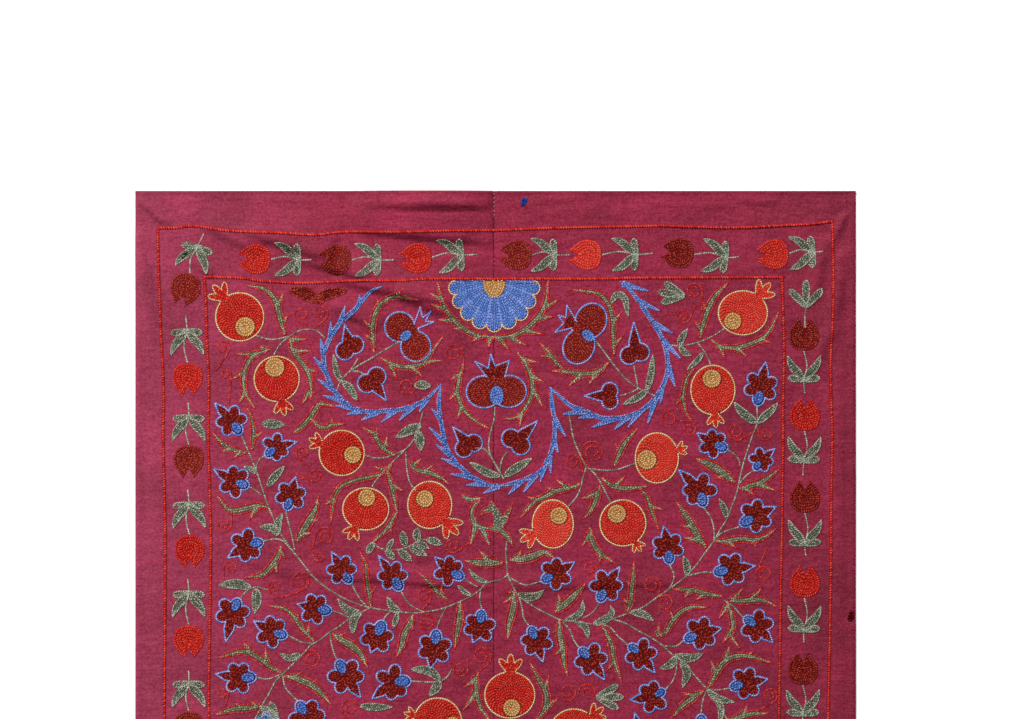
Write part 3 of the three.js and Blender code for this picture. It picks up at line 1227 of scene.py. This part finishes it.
FLOWERS = table("px py tip_px tip_py base_px base_py reach heart", """
    761 387  766 362  757 407  16 6.5
    713 444  697 433  727 449  13.5 6
    761 460  775 449  755 470  11.5 4.5
    700 490  679 470  704 507  16 6.5
    756 516  776 507  740 525  15.5 6.5
    668 547  664 526  670 565  15 6
    731 569  755 566  714 573  15.5 6.5
    701 633  722 628  683 641  15.5 6
    757 626  773 643  745 618  15.5 6
    746 683  768 679  730 688  15 6
    702 731  706 752  701 714  15 6
    556 574  575 562  541 581  15 5.5
    606 586  620 567  599 603  15.5 6
    537 641  543 662  530 627  15 6
    591 659  605 680  580 649  15.5 6
    641 654  655 673  629 645  15 5.5
    653 697  630 700  665 690  15 5
    641 737  635 713  648 752  14 6
    232 421  215 403  241 434  14.5 6
    276 447  297 442  267 456  13 5.5
    235 482  214 469  248 486  15 6
    291 496  296 477  287 510  14.5 5.5
    247 545  228 558  264 542  15.5 6
    233 613  226 642  239 599  16 6
    272 632  254 621  287 636  15 6
    315 609  298 604  332 611  14.5 6
    342 570  332 552  352 584  14 5.5
    239 678  216 674  256 677  15 6.5
    307 717  329 737  298 701  17 6.5
    393 576  379 556  401 590  14 6.5
    449 571  435 557  464 578  14 6
    377 637  371 653  383 622  15.5 7
    435 648  430 669  437 629  16 6.5
    480 627  473 643  482 609  15 6
    346 676  361 698  338 660  17 6.5
    393 682  372 699  410 681  16.5 7
    228 755  216 736  240 768  14.5 6
    292 772  312 758  278 780  15 6
    268 726  262 747  266 712  12 5
    338 744  356 728  325 754  13 5.5
    330 800  346 786  316 808  14 6
    765 748  778 730  754 760  14.5 6
    700 780  680 768  716 784  15 6
    664 762  650 748  676 772  13 5.5
    660 806  644 794  674 812  13 5.5
""")
BUDS = table("px py tip_px tip_py reach slant", """
    350 348  345 325  14.5  -70
    372 380  387 401  15    90
    635 354  634 322  14.5  -76
    610 396  584 396  13    90
    469 446  453 427  14    80
    516 442  538 421  15    -80
""")
GREAT_FLOWERS = table("a_px a_py b_px b_py wide tall heart_px heart_py heart filled", """
    400 327  416 346.5  15    15    406   336  6    0
    591 321  579 346.5  18    15.5  588.5 336  6.5  0.55
    484 392  509 391.5  17.5  16    497   396  8.8  0.7
""")

# Crowns of the great flowers, from one side of the foot to the other: foot, tip, valley, tip, valley, tip and
# foot
CROWNS = """
    414,325 420.5,307.6 422.6,318 430.7,312.5 425.5,321.5 434.3,322 418,328.5
    577.3,322.4 567.2,305.3 566,317.6 558.2,315.3 563.7,323.2 555,332.7 572,328
    487.4,377.6 475,361.3 488.5,368.4 490.9,354.5 495.3,366 509.4,360.9 504.8,377.6
"""
TULIPS = table("red pale px py joint_px joint_py end_px end_py", """
    1 0.1  255   259    300 260    312 260
    0 0.1  336   260    380 260    394 260
    1 0.1  416   258.5  463 255    478 254.5
    0 0.2  516   255    556 255    570 255
    1 0.5  586   255    637 254.5  653 253.5
    0 0.05 678   253    727 257.5  739 257
    1 0.2  773   254.5  814 252    823 251.5
    0 0.2  185.5 289    198 246    204 234
    1 0.1  188   379    187 330    186 316
    0 0.2  189   461    189 416    188.5 403
    1 0.0  190   551    189 503    188 490
    1 0.1  189   641    189 592    188 579
    0 0.2  189   727    189 682    189 671
    1 0.0  189   801    189 761    189 753
    0 0.05 804   335    804 381    805 394
    1 0.0  805   415    804 462    803 476
    0 0.05 805   497    805 545    806 556
    1 0.05 805   582    804 631    804 643
    0 0.05 803   669    803 715    803 727
    1 0.05 803   743    803 783    803 791
""")
TOP_ROSETTE, MIDDLE_ROSETTE = table("px py wide tall scallops eye_wide eye_tall start end", """
    494.5 281    46 51  9  12 18  1 2
    495.5 809.3  50 50  9  16 16  0 2
""")
TREFOILS = table("foot_px foot_py tip_px tip_py spread", """
    806 307  806 281  0.75
    684 296  659 292  0.45
    597 697  623 697  0.5
    278 720  262 707  0.5
""")

# Plain leaves: half width in millimetres, then the spine
LEAVES = """
    3.8 | 342,382 337,372 334,356
    4.8 | 343,382 350,388 357,400
    5.4 | 415,385.5 422,385 430,386
    4.2 | 647,391 651,375 653,356
    4.4 | 648,390 637,398 624,404
    4.2 | 611,303 617,295 625,299 628,316
    4.2 | 679,346 682,338 687,330
    4.0 | 680,347 684,352 690,355
    3.4 | 703,353 697,361 688,369
    6.0 | 263,424 273,424 284,425
    3.2 | 256,473 251,469 245,467
    4.8 | 268,486 274,478 284,467
    4.8 | 278,535 272,528 261,527
    4.8 | 278,534 278,524 282,515
    6.0 | 421,426 410,430 397,437
    6.0 | 418,431 420,441 421,450
    4.8 | 500,476 488,473 471,463
    5.4 | 505,476 515,469 531,459
    5.4 | 757,423 748,417 740,410 735,403
    4.8 | 758,423 765,416 771,411 777,404
    4.0 | 727,517 724,508 720,500
    6.0 | 251,588 238,584 220,585
    6.0 | 256,589 257,600 255,612
    4.2 | 300,654 290,658 281,654
    5.0 | 362,614 348,610 339,600
    5.2 | 360,613 354,620 353,633
    4.8 | 400,612 393,607 388,598
    3.6 | 398,613 396,620 394,627
    3.0 | 487,582 477,578 470,570
    3.0 | 471,595 465,592 459,586
    5.6 | 440,680 430,671 412,669
    5.6 | 440,681 436,688 430,695
    4.8 | 361,706 376,707 391,707
    5.2 | 518,595 530,597 538,595 543,591
    4.2 | 566,620 575,617 582,610 583,602
    4.2 | 577,622 586,628 588,638
    5.0 | 594,624 606,619 612,613 611,607
    4.6 | 631,612 643,614 653,620
    4.6 | 687,575 687,566 684,557
    5.4 | 675,656 690,658 702,654
    4.8 | 676,657 670,665 661,668
    5.2 | 681,662 687,672 683,686
    4.6 | 708,690 717,698 733,702
    4.2 | 715,697 721,708 720,722
    5.0 | 262,707 270,712 279,720
    4.4 | 374,543 371,547 368,553
    3.4 | 388,550 390,545 393,540
    4.4 | 386,551 390,554 394,559
    5.0 | 406,546 404,539 403,532
    5.0 | 399,550 405,555 411,560
    5.0 | 419,541 417,535 418,529
    4.0 | 417,542 423,545 428,548
    5.2 | 410,546 418,551 426,555
    4.6 | 427,540 434,541 441,544
    4.8 | 250,742 240,735 231,728
    4.8 | 241,790 252,786 262,776
    5.0 | 745,770 734,764 726,754
    4.8 | 752,800 762,792 768,780
    4.4 | 305,790 316,782 322,772
    4.4 | 690,800 682,792 672,790
"""

# Thorny leaves: half width, then the spine, then the tips of the thorns
THORNY_LEAVES = """
    3.4 | 285,335 281,322 277,305 271,294 262,288 249,286 | 287,317 283,294
    2.6 | 270,349 258,354 250,360 245,372 244,385 247,396 254,407 | 259,346 237,354 234,378 240,402
    3.2 | 290,340 293,351 300,360 308,372 311,385 311,398 | 306,339 309,351 316,372 303,403
    2.9 | 374,352 373,338 373,325 377,310 385,301 396,297 416,300 | 366,335 366,322 378,300 401,291
    2.8 | 381,358 392,364 405,367 420,365 432,361 440,361 | 396,377 422,376 442,338
    3.0 | 490,337 475,335 463,328 455,321 447,311 442,299 438,284 \
        | 489,346 473,341 455,329 440,320 433,305 431,294
    3.0 | 490,337 508,337 521,332 532,324 541,313 546,300 548,281 | 508,349 525,345 541,334 552,317 558,300
    2.8 | 463,364 459,380 458,395 464,410 474,420 488,428 | 452,379 450,399 458,418
    2.9 | 518,353 527,366 532,380 532,394 526,407 517,417 505,419 | 536,362 542,381 542,405 520,425
    2.8 | 614,355 613,338 613,322 610,308 604,298 596,293 574,290 | 622,337 620,314
    3.0 | 608,363 597,372 583,374 568,372 553,371 | 590,383 570,385
    2.8 | 562,369 555,361 549,352 542,345 | 542,356
    3.2 | 700,338 704,322 709,308 716,295 727,284 | 696,323 704,304
    2.9 | 711,340 722,347 736,348 750,344 763,338 771,328 778,314 | 724,356 745,355 769,342
    2.0 | 694,368 687,378 684,390 683,400 686,412 690,419 | 677,403
    2.0 | 252,450 253,441 254,432 252,420 248,409 | 261,433
    2.6 | 247,453 238,451 230,449 222,443 214,434 | 235,457 223,451
    3.4 | 268,507 258,506 245,509 232,511 225,506 218,496 | 251,518
    4.4 | 297,541 305,528 311,518 316,508 318,499 | 311,533 317,520
    3.2 | 293,433 303,426 311,417 316,409 320,404 334,406 | 314,408
    2.6 | 312,419 318,426 326,428 333,425 343,424 | 333,419
    3.0 | 395,455 385,450 378,441 373,433 363,428 | 387,438 377,430
    3.4 | 411,467 420,471 430,473 439,477 448,483 | 420,460 432,466
    2.4 | 388,469 378,475 365,478 350,482 340,488 334,500 331,521 | 376,467 360,479 335,488 326,504
    2.8 | 387,471 390,481 393,491 397,512 | 392,463 402,490
    2.6 | 397,512 391,523 384,532 373,542 | 391,531
    3.0 | 614,466 619,455 625,443 636,430 | 617,446
    3.2 | 602,478 610,485 620,488 634,488 647,486 | 624,477
    2.2 | 640,489 647,497 651,510 658,528 | 661,509
    3.2 | 600,486 597,497 593,507 585,517 | 583,498
    3.0 | 581,483 570,488 557,491 545,497 533,503 521,517 | 557,480 548,488 529,497
    3.2 | 590,528 592,540 598,551 613,562 | 583,545 600,561
    5.0 | 735,482 724,474 712,466 697,459 | 717,478
    3.4 | 740,488 750,486 762,482 777,471 | 753,494 774,490
    4.4 | 706,548 698,536 690,522 678,504 | 686,538 683,526
    3.0 | 713,541 727,541 740,539 755,540 766,536 774,530 | 735,547 755,545
    3.2 | 281,547 277,558 270,568 262,575 248,577 | 284,556 277,571
    2.6 | 314,641 305,632 299,624 292,614 283,608 271,606 | 309,626 298,614
    3.2 | 281,672 270,667 262,660 250,653 238,652 221,657 | 266,650 244,642
    4.2 | 284,676 295,678 305,682 315,687 330,703 | 300,673 314,681
    3.4 | 262,706 250,708 235,709 218,714 | 252,702 236,703
    2.0 | 371,608 369,595 367,580 366,566 361,553 | 374,589
    2.6 | 448,600 440,594 431,584 421,574 | 442,588
    4.0 | 413,615 410,624 405,633 402,645 397,656 | 413,627
    3.4 | 460,602 460,612 459,622 457,634 455,647 | 465,622
    4.4 | 503,563 492,563 480,563 466,561 | 481,552
    4.4 | 333,634 343,641 352,646 360,653 367,666 | 343,634 353,641
    3.0 | 478,672 476,683 477,695 481,708 490,721 | 466,686 465,708
    4.6 | 510,560 522,559 534,556 544,552 554,557 | 521,551
    3.8 | 514,592 514,603 512,614 509,625 508,638 | 508,592 505,602
    4.4 | 555,612 563,606 572,598 584,585 | 559,596
    3.6 | 559,620 560,635 563,650 564,663 567,674 | 555,631 556,654
    2.8 | 601,624 607,634 612,646 614,660 621,680 | 608,645 609,668
    3.0 | 627,613 631,600 632,588 633,575 634,564 | 624,599 629,583
    3.4 | 537,720 544,711 547,700 545,690 538,678 531,664 | 556,700 548,679
    3.2 | 722,596 706,594 692,590 675,589 | 697,599 685,597
    3.2 | 729,601 742,601 755,600 765,601 776,606 | 741,590 760,590
    2.6 | 727,602 731,613 733,625 731,635 738,646 | 720,617 724,641
    3.2 | 658,636 666,632 672,622 681,612 692,607 706,607 | 659,626 671,612
    3.4 | 708,688 715,676 723,663 733,657 747,656 770,662 | 712,663 729,648 752,652
    3.4 | 703,691 693,698 682,706 673,716 | 684,693
    3.2 | 728,720 740,717 752,714 766,713 | 747,706
    3.2 | 245,776 234,782 226,792 216,800 | 229,780
    3.2 | 300,760 312,752 318,740 330,732 | 308,742
    3.2 | 748,778 760,786 768,796 778,802 | 764,783
    3.2 | 640,760 630,752 622,742 612,738 | 626,740
    3.0 | 360,800 366,786 372,774 380,766 | 362,780
"""

# Vines of the great bracket: half width, then the spine, then the tips of the thorns
BLUE_VINES = """
    3.4 | 441,385 424,401 403,409 385,411 370,412 352,407 338,395 331,385 326,371 \
          324,357 327,345 332,336 338,326 347,317 356,309 364,299 372,291 382,287 \
        | 420,411 400,420 383,421 362,420 349,414 337,406 325,396 319,380 315,358 \
          321,340 331,323 345,308 360,296
    3.4 | 620,282 630,290 640,303 650,318 660,334 666,350 668,365 666,378 \
          660,391 650,404 637,413 620,418 602,418 585,411 570,405 551,388 \
        | 648,291 658,310 672,333 680,358 675,386 661,402 648,423 629,426 \
          615,429 593,427 580,418 564,414
    3.2 | 499,486 490,485 478,480 466,472 456,462 448,450 444,436 441,420 439,402 441,386 \
        | 484,493 467,485 452,474 443,459 437,445 430,428 433,410
    3.2 | 551,388 552,402 554,417 555,430 553,445 548,459 541,471 528,478 514,483 499,486 \
        | 565,435 558,452 551,472 541,480 524,492 509,494
"""

# Stems, each as the places on its way
STEMS = """
    255,335 265,338.5 275,339.5 289,336.5
    274,355 280,345 289,337 299,331 308,329.5 317,331 325,338
    399,342 385,350 372,358 358,366 347,374 340,383 337,391
    351,370 355,364 358,359
    352,371 360,372 366,376
    596,341 605,353 614,365 625,378 638,388 655,396
    634,366 636,377 638,387
    620,396 630,393 638,389
    495,407 494,420 490,435 489,448 493,460 504,479
    475,448 484,449 490,455 499,470
    507,452 502,460 500,471
    669,345 680,346 692,344 705,340 715,335 724,329
    697,342 704,351 709,360 711,367
    242,436 248,450 253,462 258,475 263,490 268,505 273,517 279,530 285,540 293,551
    266,455 260,459 257,465 256,471
    248,486 255,490 262,495
    286,510 288,520 292,535 295,550
    264,541 275,539 283,541 290,548 297,556 305,566 313,576 323,585 335,593 350,601 368,607 \
        391,611 415,613 425,612
    425,612 437,610 447,607 457,603 470,597 480,590 487,583 500,580 508,575
    365,455 375,458 388,457 398,453 406,449 413,441 418,431 421,420 423,412
    372,487 378,478 388,467 397,458 404,451
    416,491 410,482 407,468 406,452
    374,543 380,548 390,550 402,549 412,545 420,540 432,540
    569,413 571,425 574,440 579,452 586,466 591,470 598,478 604,489 612,505
    587,468 600,470 615,470 628,466 637,463
    586,468 583,478 580,490 575,499 567,508
    757,406 757,423 752,437 747,452 743,465 740,478 737,492 732,506 727,519 720,530 714,541
    726,449 734,454 739,460 740,466
    755,470 747,475 740,483
    704,508 711,518 714,530 714,541
    739,527 729,530 720,534 714,541
    714,541 708,549 702,557 698,563 692,570 684,578 676,584 668,590 656,598 645,606 632,612 612,619
    670,565 674,575 672,584 668,590
    714,573 705,572 695,574 686,576
    268,590 258,587 250,589 244,594 240,600
    332,611 340,613 350,617 360,613 370,608
    288,635 297,640 305,643 313,643
    350,618 340,626 330,632 320,640 311,645 304,653 294,663 285,672 276,681 270,692 262,706 \
        254,722 246,742 240,770 238,809
    330,633 332,645 335,655 338,661
    256,677 266,679 275,677 281,674
    283,676 285,686 290,693 298,701
    352,584 356,592 361,600 367,606
    401,590 405,598 412,606 424,612
    464,578 471,583 478,587
    383,622 386,616 391,612
    437,629 440,620 446,608
    482,609 480,598 481,590
    452,669 447,677 440,681 430,682 411,681
    507,541 506,552 507,565 508,575 513,586 518,595 527,602 538,609 548,614 558,619 566,621 \
        580,622 592,624 602,622 612,619
    508,576 516,581 526,585 535,583 541,581
    519,596 522,607 524,618 530,627
    563,622 570,630 574,640 580,649
    599,604 592,613 583,618
    602,624 611,628 618,636 628,645
    612,619 625,623 637,630 650,637 662,645 673,655 682,661 690,670 698,679 707,689
    677,660 676,672 672,682 665,690
    683,641 676,646 665,646
    707,689 718,690 730,688
    707,690 703,700 701,714
    708,690 715,700 722,711 730,724 742,748 750,776 753,810
    724,600 733,606 740,614 745,619
    512,718 508,736 502,752
    461,731 474,744 484,757
    557,748 540,762 528,772
    409,768 428,776 446,786
    590,791 570,795 550,799
    240,768 244,762 248,750
    278,780 262,782 243,774
    754,760 748,764 746,768
    716,784 732,784 750,780
    325,754 316,760 300,775 278,790 262,802
    316,808 300,800 288,792
    676,772 690,782 708,792 730,800
"""

# Tendrils: the root, the middle of the curl, its radius in pixels, and its turns, less than none to turn
# clockwise
TENDRILS = table("px py curl_px curl_py radius turns", """
    216 371  223 348  7.5  1.3
    229 403  226 375  6    1.2
    311 326  302 315  8   -1.2
    314 328  321 313  8    1.3
    417 376  407 386  9   -1.4
    464 372  454 353  9.5  1.4
    702 313  694 291  8.5  1.7
    695 306  683 316  7.5 -1.5
    296 474  315 475  7    1.4
    308 466  303 453  7   -1.4
    232 512  224 525  7.5 -1.4
    591 469  593 452  12  -1.8
    584 477  573 462  8    1.4
    683 409  670 418  8    1.4
    680 421  689 429  7.5 -1.4
    753 432  736 432  9   -1.5
    758 428  766 434  7    1.2
    224 579  231 568  7   -1.2
    280 598  275 587  7   -1.3
    281 598  300 581  10   1.6
    312 550  326 536  9.5 -1.6
    313 550  320 556  6    1.3
    302 655  312 659  9   -1.5
    225 707  223 694  6    1.3
    421 611  424 596  8    1.3
    419 612  426 623  8   -1.4
    467 660  460 669  8   -1.4
    480 671  482 656  10   1.5
    352 722  350 708  9   -1.4
    471 541  453 545  8   -1.5
    590 580  590 569  8    1.3
    658 597  652 585  9    1.5
    659 597  665 603  8   -1.3
    556 698  568 692  9    1.4
    577 697  588 692  8.5 -1.4
    762 589  764 574  8.5 -1.4
    767 548  764 567  5    0.5
    757 711  770 695  8    1.5
    302 476  303 476  3    0.5
    250 806  262 812  8    1.4
    362 724  352 724  7   -1.2
    612 746  600 748  8    1.4
    736 806  722 808  8   -1.4
""")

# Two crossed maroon leaves: half width, then the spine
MAROON_LEAVES = """
    7.8 | 290,290 301,292.5 312,296.5 323,302
    6.4 | 346,291 335,292.5 324,295.5 312,300
"""

# The scrolled leaf at the seam: the middle and the corners of its body, then the half width and the spine of
# each stroke
SCROLL_CENTRE = "500,521"
SCROLL_BODY = """
    490.5,500 496.5,506 503.3,515.8 508,509 513,503 510,513 507,522 502,530 498,533 490,530 493,524 \
        493.8,518 491.5,513 488,509
"""
SCROLL_STROKES = """
    3.4 | 462,495 470,499.5 481,498
    2.4 | 480,500 474,506 471.5,514 472.5,521 475,528
    3.8 | 475,517 474.5,530 471,543
    3.8 | 472,523 482,529 489,543.5
    2.2 | 474,524 485,528 496,528
    2.4 | 494,510 486,510 481,515
    3.8 | 497,527 506,535 512,544
"""

# The stem of the trefoil at the right border, and the red ropes on both sides of the border
TREFOIL_STEM = "806,307 805,316 805,328"
ROPES = """
    158,228 175,228 192,226 215,229 230,231 280,233 315,235 345,232 390,232.5 455,231 494,230.5 \
        560,228 660,226
    833,221.5 810,224.5 780,226 740,228 700,227.5 660,226
    832,221 833,255 833,290 832,330 830.5,360 831,400 832,440 831,500 830.7,560 829.5,640 828,719 \
        827,809.3
    158,228 158.5,260 160,300 161,330 163,365 164,400 163.5,440 165.5,540 165,640 164.5,719 164,809.3
    204.5,277 240,278 262,281 300,283 330,282 350,281 400,280.5 430,279 494,279 600,279 640,278 \
        770,277.5 782,277
    782,277 783,310 784,350 783,410 783,440 782,520 780.6,600 779,719 778.5,809.3
    204.5,277 206,300 207.5,350 209,385 208.5,440 211,540 209.7,640 209.2,719 212.5,809.3
"""


def either(first, second):
    """Tells which places lie inside either of two shapes."""
    def inside(place):
        return first(place) | second(place)
    return inside


def scrolled_leaf():
    """The scrolled leaf at the seam: a body with a horn and a tail, and a hook, a neck and legs that leave
    it."""
    centre = places(SCROLL_CENTRE)[0]
    corners = places(SCROLL_BODY) - centre
    strokes = [(smooth(spine), half_width, leaf_swell) for half_width, spine, _ in rows_of(SCROLL_STROKES)]

    def reach(bearing):
        return cornered(bearing, corners)

    def is_in_body(place):
        away = place - centre
        return np.hypot(*away.T) < reach(np.arctan2(away[:, 1], away[:, 0]))

    for index, stroke in enumerate(strokes):
        hidden = either(is_in_body, inside_leaves(strokes[:index] + strokes[index + 1 :]))
        sew_leaf("thread_sage", *stroke, "thread_coral", shade=0.25, bare=hidden)
    sew_rings("thread_sage", centre, reach, shade=0.15)
    sew_line("thread_coral", around(centre, reach), EDGE_WIDTH, lift=0.1, bare=inside_leaves(strokes))


# A stem's thread, and the shares of their half width that the thorny leaves and the vines are worked to
STEM = {"width": 2.8, "shade": 0.05}
THORNY_SHARE = 1.16
VINE_SHARE = 0.8


def sew_field():
    """The upper half of the field inside the inner line."""
    for row in POMEGRANATES:
        pomegranate(row)
    for row in FLOWERS:
        flower(row)
    for row in BUDS:
        bud(row)
    for row, corners in zip(GREAT_FLOWERS, paths_of(CROWNS)):
        great_flower(row, corners)
    for half_width, spine, _ in rows_of(LEAVES):
        is_short = np.hypot(*(spine[-1] - spine[0])) < SHORT_LEAF
        sew_leaf("thread_sage", smooth(spine), half_width, round_swell if is_short else leaf_swell)
    scrolled_leaf()
    for half_width, spine, _ in rows_of(MAROON_LEAVES):
        sew_leaf("thread_maroon", smooth(spine), half_width, round_swell, shade=-0.1)
    for half_width, spine, thorns in rows_of(THORNY_LEAVES):
        half_width = THORNY_SHARE * half_width
        sew_thorny("thread_olive", spine, half_width, thorns, leaf_swell, "thread_coral", shade=0.1)
    for half_width, spine, thorns in rows_of(BLUE_VINES):
        half_width = VINE_SHARE * half_width
        sew_thorny("thread_blue", spine, half_width, thorns, vine_swell, None, shade=0.1, foot=1.5, back=1.5)
        for side in (-1, 1):
            sew_line("thread_coral", beside(smooth(spine), side * (half_width + 0.5)), width=1.5, height=0.35)
    for path in paths_of(STEMS):
        sew_line("thread_sage", smooth(path), **STEM)
    for row in TENDRILS:
        path = curl(spot(row), spot(row, "curl_"), PIXEL * row["radius"], row["turns"])
        sew_line("thread_coral", path, width=2.9, shade=-0.3)
    rosette(TOP_ROSETTE)


def sew_border():
    """The upper half of the border: its tulips, the trefoils and its two ropes. Each rope is a core, dyed
    dark as painted shade in the gaps, under a row of stitches that lean across it."""
    for row in TULIPS:
        tulip(row)
    for row in TREFOILS:
        trefoil(row)
    sew_line("thread_sage", smooth(places(TREFOIL_STEM)), **STEM)
    for line in paths_of(ROPES):
        path = smooth(line)
        # The core's dark tone is painted shade in the gaps between the leaning stitches
        sew_line("thread_red", path, width=4.4, step=4.5, lean=0.1, height=0.7, shade=-0.7)
        sew_line("thread_red", path, width=2.6, step=3.0, lean=-0.88, height=0.75, lift=0.45, length=2.1)


# The seam's running stitches: how far from the hem they start, their step, and the length that is pale
SEAM_START = 4.0
SEAM_STEP = 5.0
SEAM_PALE = 32.0

# The hem's tacks: how far from a corner they start and stop, their step and stray, and their distance in
TACK_START = 14.0
TACK_STOP = 10.0
TACK_STEP = 19.0
TACK_STRAY = 6.0
TACK_INWARD = 7.5
TACK = {"length": 2.6, "height": 0.3, "lift": 0.0, "shade": -0.7}


def plain_stitches(x, y, heading, **look):
    """Fine sewing stitches at places across and along the cloth."""
    sew("sewing_thread", np.column_stack(np.broadcast_arrays(x, y)), heading, width=1.0, **look)


def tack_places(start, end):
    """Places along a hem: even steps, each with a random stray."""
    place = np.arange(start + TACK_START, end - TACK_STOP, TACK_STEP)
    return place + rng.uniform(-TACK_STRAY, TACK_STRAY, len(place))


def sew_seam_and_hem():
    """Running stitches down the seam, pale where they start, and tacks along the hem."""
    y = np.arange(TOP - SEAM_START, BOTTOM + SEAM_START, -SEAM_STEP)
    shade = np.where(y > TOP - SEAM_PALE, 0.9, -0.8)
    plain_stitches(SEAM_X, y, TAU / 4, length=2.8, height=0.4, lift=0.2, shade=shade, spread=0.1)
    for side in (-1, 1):
        plain_stitches(tack_places(LEFT, RIGHT), side * (TOP - TACK_INWARD), heading=0.5, **TACK)
        plain_stitches(side * (RIGHT - TACK_INWARD), tack_places(BOTTOM, TOP), heading=2.0, **TACK)


# Two small marks, with their half sizes in millimetres
MARKS = table("brown px py wide tall turn shade", """
    0  524 202  4.2 7.0  2.8 -1.1
    1  851 616  4.6 8.0  2.9 -0.7
""")


def sew_marks():
    """A small dark blue oval worked on the top margin, and a brown one at the right hem."""
    for row in MARKS:
        thread = "thread_maroon" if row["brown"] else "thread_blue"
        sew_rings(thread, spot(row), oval(row["wide"], row["tall"], row["turn"]), shade=row["shade"])


# The making
silk = silk_material()
left_panel = silk_panel("silk_left", "panel_left", LEFT, SEAM_X - SEAM_GAP / 2, silk)
right_panel = silk_panel("silk_right", "panel_right", RIGHT, SEAM_X + SEAM_GAP / 2, silk)

sew_field()
sew_border()
turned_stitches()
rosette(MIDDLE_ROSETTE)
sew_seam_and_hem()
sew_marks()

stitched = {"left": [], "right": []}
for thread, sewn in STITCHES.items():
    material = thread_material(thread)
    stitches = np.concatenate(sewn)
    on_left = stitches[:, 0] < SEAM_X
    for side, kept in (("left", on_left), ("right", ~on_left)):
        pads = [part for part in PADS[thread] if (part[0][:, 0].mean() < SEAM_X) == (side == "left")]
        stitched[side].append(stitch_piece(f"{thread}_{side}", stitches[kept], pads, material))

# The floor, a little below the cloth, the light and the camera
FLOOR_HALF = 9000.0
FLOOR_DROP = 0.2
floor_material, _, floor_shader = new_material("floor", roughness=0.9, specular=0.2)
floor_shader.inputs["Base Color"].default_value = grey(0.86)
corners = np.array([(-1, -1, 0), (1, -1, 0), (1, 1, 0), (-1, 1, 0)]) * FLOOR_HALF - (0, 0, FLOOR_DROP)
floor = new_piece("floor", corners, np.array([(0, 1, 2, 3)]), floor_material)

world = bpy.data.worlds.new("studio")
world.use_nodes = True
world.node_tree.nodes["Background"].inputs["Color"].default_value = grey(1)
world.node_tree.nodes["Background"].inputs["Strength"].default_value = 0.2
bpy.context.scene.world = world


def soft_light(name, place, aim, size, power):
    """A square lamp at a place, turned to face aim."""
    lamp = bpy.data.lights.new(name, "AREA")
    lamp.size = size
    lamp.energy = power
    piece = bpy.data.objects.new(name, lamp)
    piece.location = place
    facing = np.subtract(aim, place)
    tilt = math.acos(-facing[2] / np.linalg.norm(facing))
    piece.rotation_euler = (tilt, 0, bearing_of(facing) - TAU / 4)
    bpy.context.scene.collection.objects.link(piece)


soft_light("side", place=(-1.1, 0.5, 0.8), aim=(-0.4, 0.4, 0), size=0.5, power=7)
soft_light("top", place=(0.2, 1.9, 1.2), aim=(0, 0.6, 0), size=0.6, power=16)
sun = bpy.data.objects.new("sun", bpy.data.lights.new("sun", "SUN"))
sun.data.energy = 4.2
sun.data.angle = math.radians(10)
sun.rotation_euler = (math.radians(-54), 0, math.radians(28))
bpy.context.scene.collection.objects.link(sun)

LENS = 100.0
SENSOR = 36.0
FRAME_WIDTH_PX = 1024
FRAME_HEIGHT_PX = 719
view_x, view_y = on_cloth((FRAME_WIDTH_PX / 2, FRAME_HEIGHT_PX / 2))
distance = FRAME_WIDTH_PX * PIXEL * LENS / SENSOR
camera = bpy.data.objects.new("camera", bpy.data.cameras.new("camera"))
camera.data.lens = LENS
camera.data.sensor_width = SENSOR
camera.location = (view_x * MM, view_y * MM, distance * MM)
bpy.context.scene.collection.objects.link(camera)
bpy.context.scene.camera = camera
bpy.context.scene.view_settings.view_transform = "Standard"
